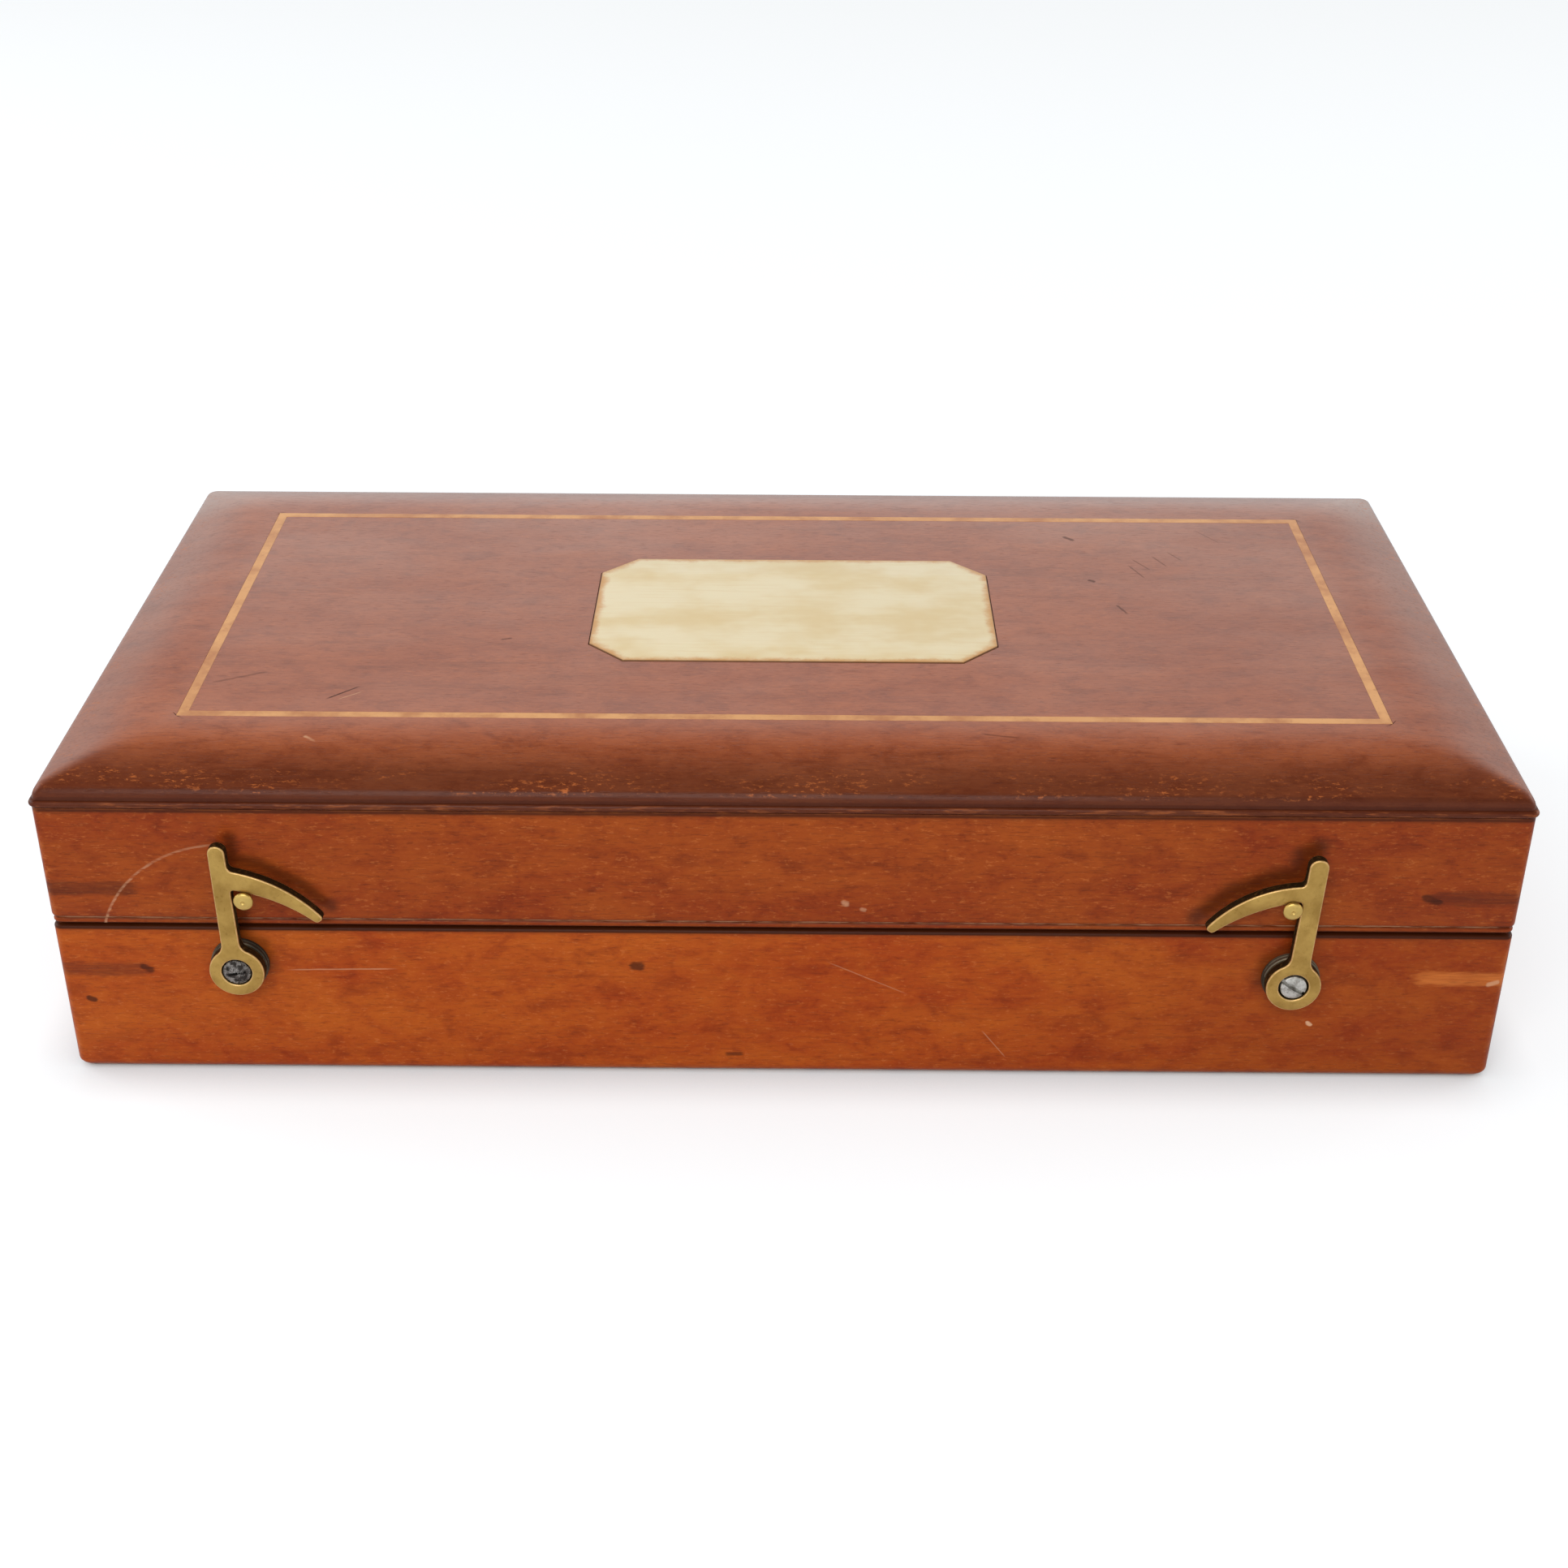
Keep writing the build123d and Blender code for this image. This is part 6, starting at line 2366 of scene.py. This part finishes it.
PLAQUE_BONE = AgedBone(
    name="plaque_bone", slot="bone_plaque", face=Paint(238, 223, 187), warm=Paint(226, 200, 148),
    stain=Paint(206, 142, 74), seed=29.0,
    half=((PLAQUE_HIGH.x - PLAQUE_LOW.x) / 2, (PLAQUE_HIGH.y - PLAQUE_LOW.y) / 2),
    middle=((PLAQUE_HIGH.x + PLAQUE_LOW.x) / 2, (PLAQUE_HIGH.y + PLAQUE_LOW.y) / 2), clip=5.5)
HOOK_BRASS = AgedBrass(name="aged_hook_brass", slot="hook_brass", bright=Paint(196, 160, 88),
                       brown=Paint(140, 106, 48), seed=33.0, facing=(0, 1, 0))
STUD_BRASS = AgedBrass(name="stud_brass", slot="hook_brass", bright=Paint(220, 190, 112),
                       brown=Paint(168, 130, 62), seed=35.0, rough=0.3, bloom=0.4)
WASHER_BRASS = AgedBrass(name="dark_washer", slot="dark_brass", bright=Paint(126, 116, 96),
                         brown=Paint(40, 34, 26), seed=37.0, rough=0.5, bloom=0.85, metal=0.7)
HINGE_BRASS = AgedBrass(name="hinge_brass_dull", slot="hinge_brass", bright=Paint(188, 150, 82),
                        brown=Paint(122, 92, 46), seed=39.0, rough=0.42)
CLIP_BRASS = AgedBrass(name="strap_brass", slot="clip_brass", bright=Paint(206, 170, 98),
                       brown=Paint(150, 116, 58), seed=41.0, rough=0.34)
WEIGHT_BRASS = AgedBrass(name="weight_brass", slot="instrument_brass", bright=Paint(214, 176, 98),
                         brown=Paint(160, 120, 54), seed=43.0, rough=0.28, bloom=0.5)
SCREW_STEEL = WornSteel(name="pivot_screw_steel", slot="screw_steel", bright=Paint(206, 204, 198),
                        dull=Paint(146, 142, 134), seed=45.0)
BATTERED_STEEL = WornSteel(name="battered_screw_steel", slot="screw_steel", bright=Paint(150, 146, 142),
                           dull=Paint(84, 78, 74), seed=46.0, pitting=1.0)
HINGE_SCREW_STEEL = WornSteel(name="leaf_screw_steel", slot="screw_steel", bright=Paint(150, 144, 134),
                              dull=Paint(92, 84, 74), seed=47.0)
PIN_STEEL = WornSteel(name="pin_steel", slot="hinge_brass", bright=Paint(160, 150, 130),
                      dull=Paint(96, 84, 66), seed=49.0)
STEM_START = extent("hydrometer")[1].x - 88.0
STEM_Y = centre("hydrometer").y
FLOAT_BRASS = GiltBrass(
    name="float_gilt", slot="instrument_brass", bright=Paint(226, 186, 104), cloudy=Paint(176, 130, 60),
    seed=51.0,
    rulings=(Ruling(STEM_START + 8.0, 7.6, 10, STEM_Y - 1.7, STEM_Y + 0.1, 0.10),
             Ruling(STEM_START + 8.0, 1.52, 50, STEM_Y - 1.7, STEM_Y - 0.7, 0.07)))
PLATE_LOW, PLATE_HIGH = extent("thermometer_plate")
PLATE_Y = (PLATE_LOW.y + PLATE_HIGH.y) / 2
SCALE_BONE = AgedBone(
    name="scale_bone", slot="plate_bone", face=Paint(238, 226, 194), warm=Paint(222, 202, 156),
    stain=Paint(200, 160, 104), seed=53.0, half=((PLATE_HIGH.x - PLATE_LOW.x) / 2, (PLATE_HIGH.y - PLATE_LOW.y) / 2),
    middle=(0.0, PLATE_Y), clip=0.6, creep=0.8,
    rulings=(Ruling(-46.0, 11.0, 9, PLATE_Y - 2.7, PLATE_Y - 0.9, 0.10),
             Ruling(-46.0, 1.1, 90, PLATE_Y - 2.1, PLATE_Y - 1.0, 0.07),
             Ruling(-46.0, 1.1, 90, PLATE_Y + 1.0, PLATE_Y + 2.1, 0.07)))
ENGRAVED = PlainWood(name="black_wax", slot="instrument_brass", light=Paint(54, 42, 30),
                     dark=Paint(34, 26, 20), length=(1.0, 1.0, 1.0), seed=57.0, rough=0.6)
MERCURY = WornSteel(name="quicksilver", slot="tube_glass", bright=Paint(206, 206, 208),
                    dull=Paint(176, 176, 180), seed=59.0)
TUBE_GLASS = ClearGlass(name="drawn_glass", slot="tube_glass")
BLOCK_VELVET = Velvet(name="block_velvet", slot="velvet", pile=Paint(52, 22, 66), sheen=Paint(104, 66, 124),
                      seed=61.0)
PAD_VELVET = Velvet(name="pad_velvet", slot="lining_velvet", pile=Paint(58, 26, 74), sheen=Paint(112, 74, 132),
                    seed=64.0)


def main() -> None:
    """Build the set piece by piece."""
    logging.basicConfig(level=logging.INFO, format="%(name)s: %(message)s")
    Studio().build()
    CaseBase().build()
    CaseLid().build()
    SideHook(
        side=Side.RIGHT, arm_length=21.15, arm_lean=1.25, root_half=1.47, tip_radius=1.36,
        tail_inner=(14.4, 14.2, 15.35), tail_outer=(16.85, 16.7, 16.6), tail_sweep=54.0,
        screw=SlottedScrew(1.86, 1.1, 0.25, 0.56, 0.85, -33.0), screw_finish=SCREW_STEEL).build()
    SideHook(
        side=Side.LEFT, arm_length=20.8, arm_lean=0.6, root_half=1.33, tip_radius=1.2,
        tail_inner=(13.9, 13.65, 14.75), tail_outer=(16.95, 16.1, 16.05), tail_sweep=55.5,
        screw=SlottedScrew(1.98, 1.1, 0.3, 0.42, 0.3, 12.0), screw_finish=BATTERED_STEEL).build()
    for side in Side:
        ButtHinge(side=side).build()
    HingeScrews(lid=False).build()
    HingeScrews(lid=True).build()
    Float().build()
    WeightRow().build()
    Thermometer().build()
    VelvetBlock().build()
    LiningPad().build()


if __name__ == "__main__":
    main()
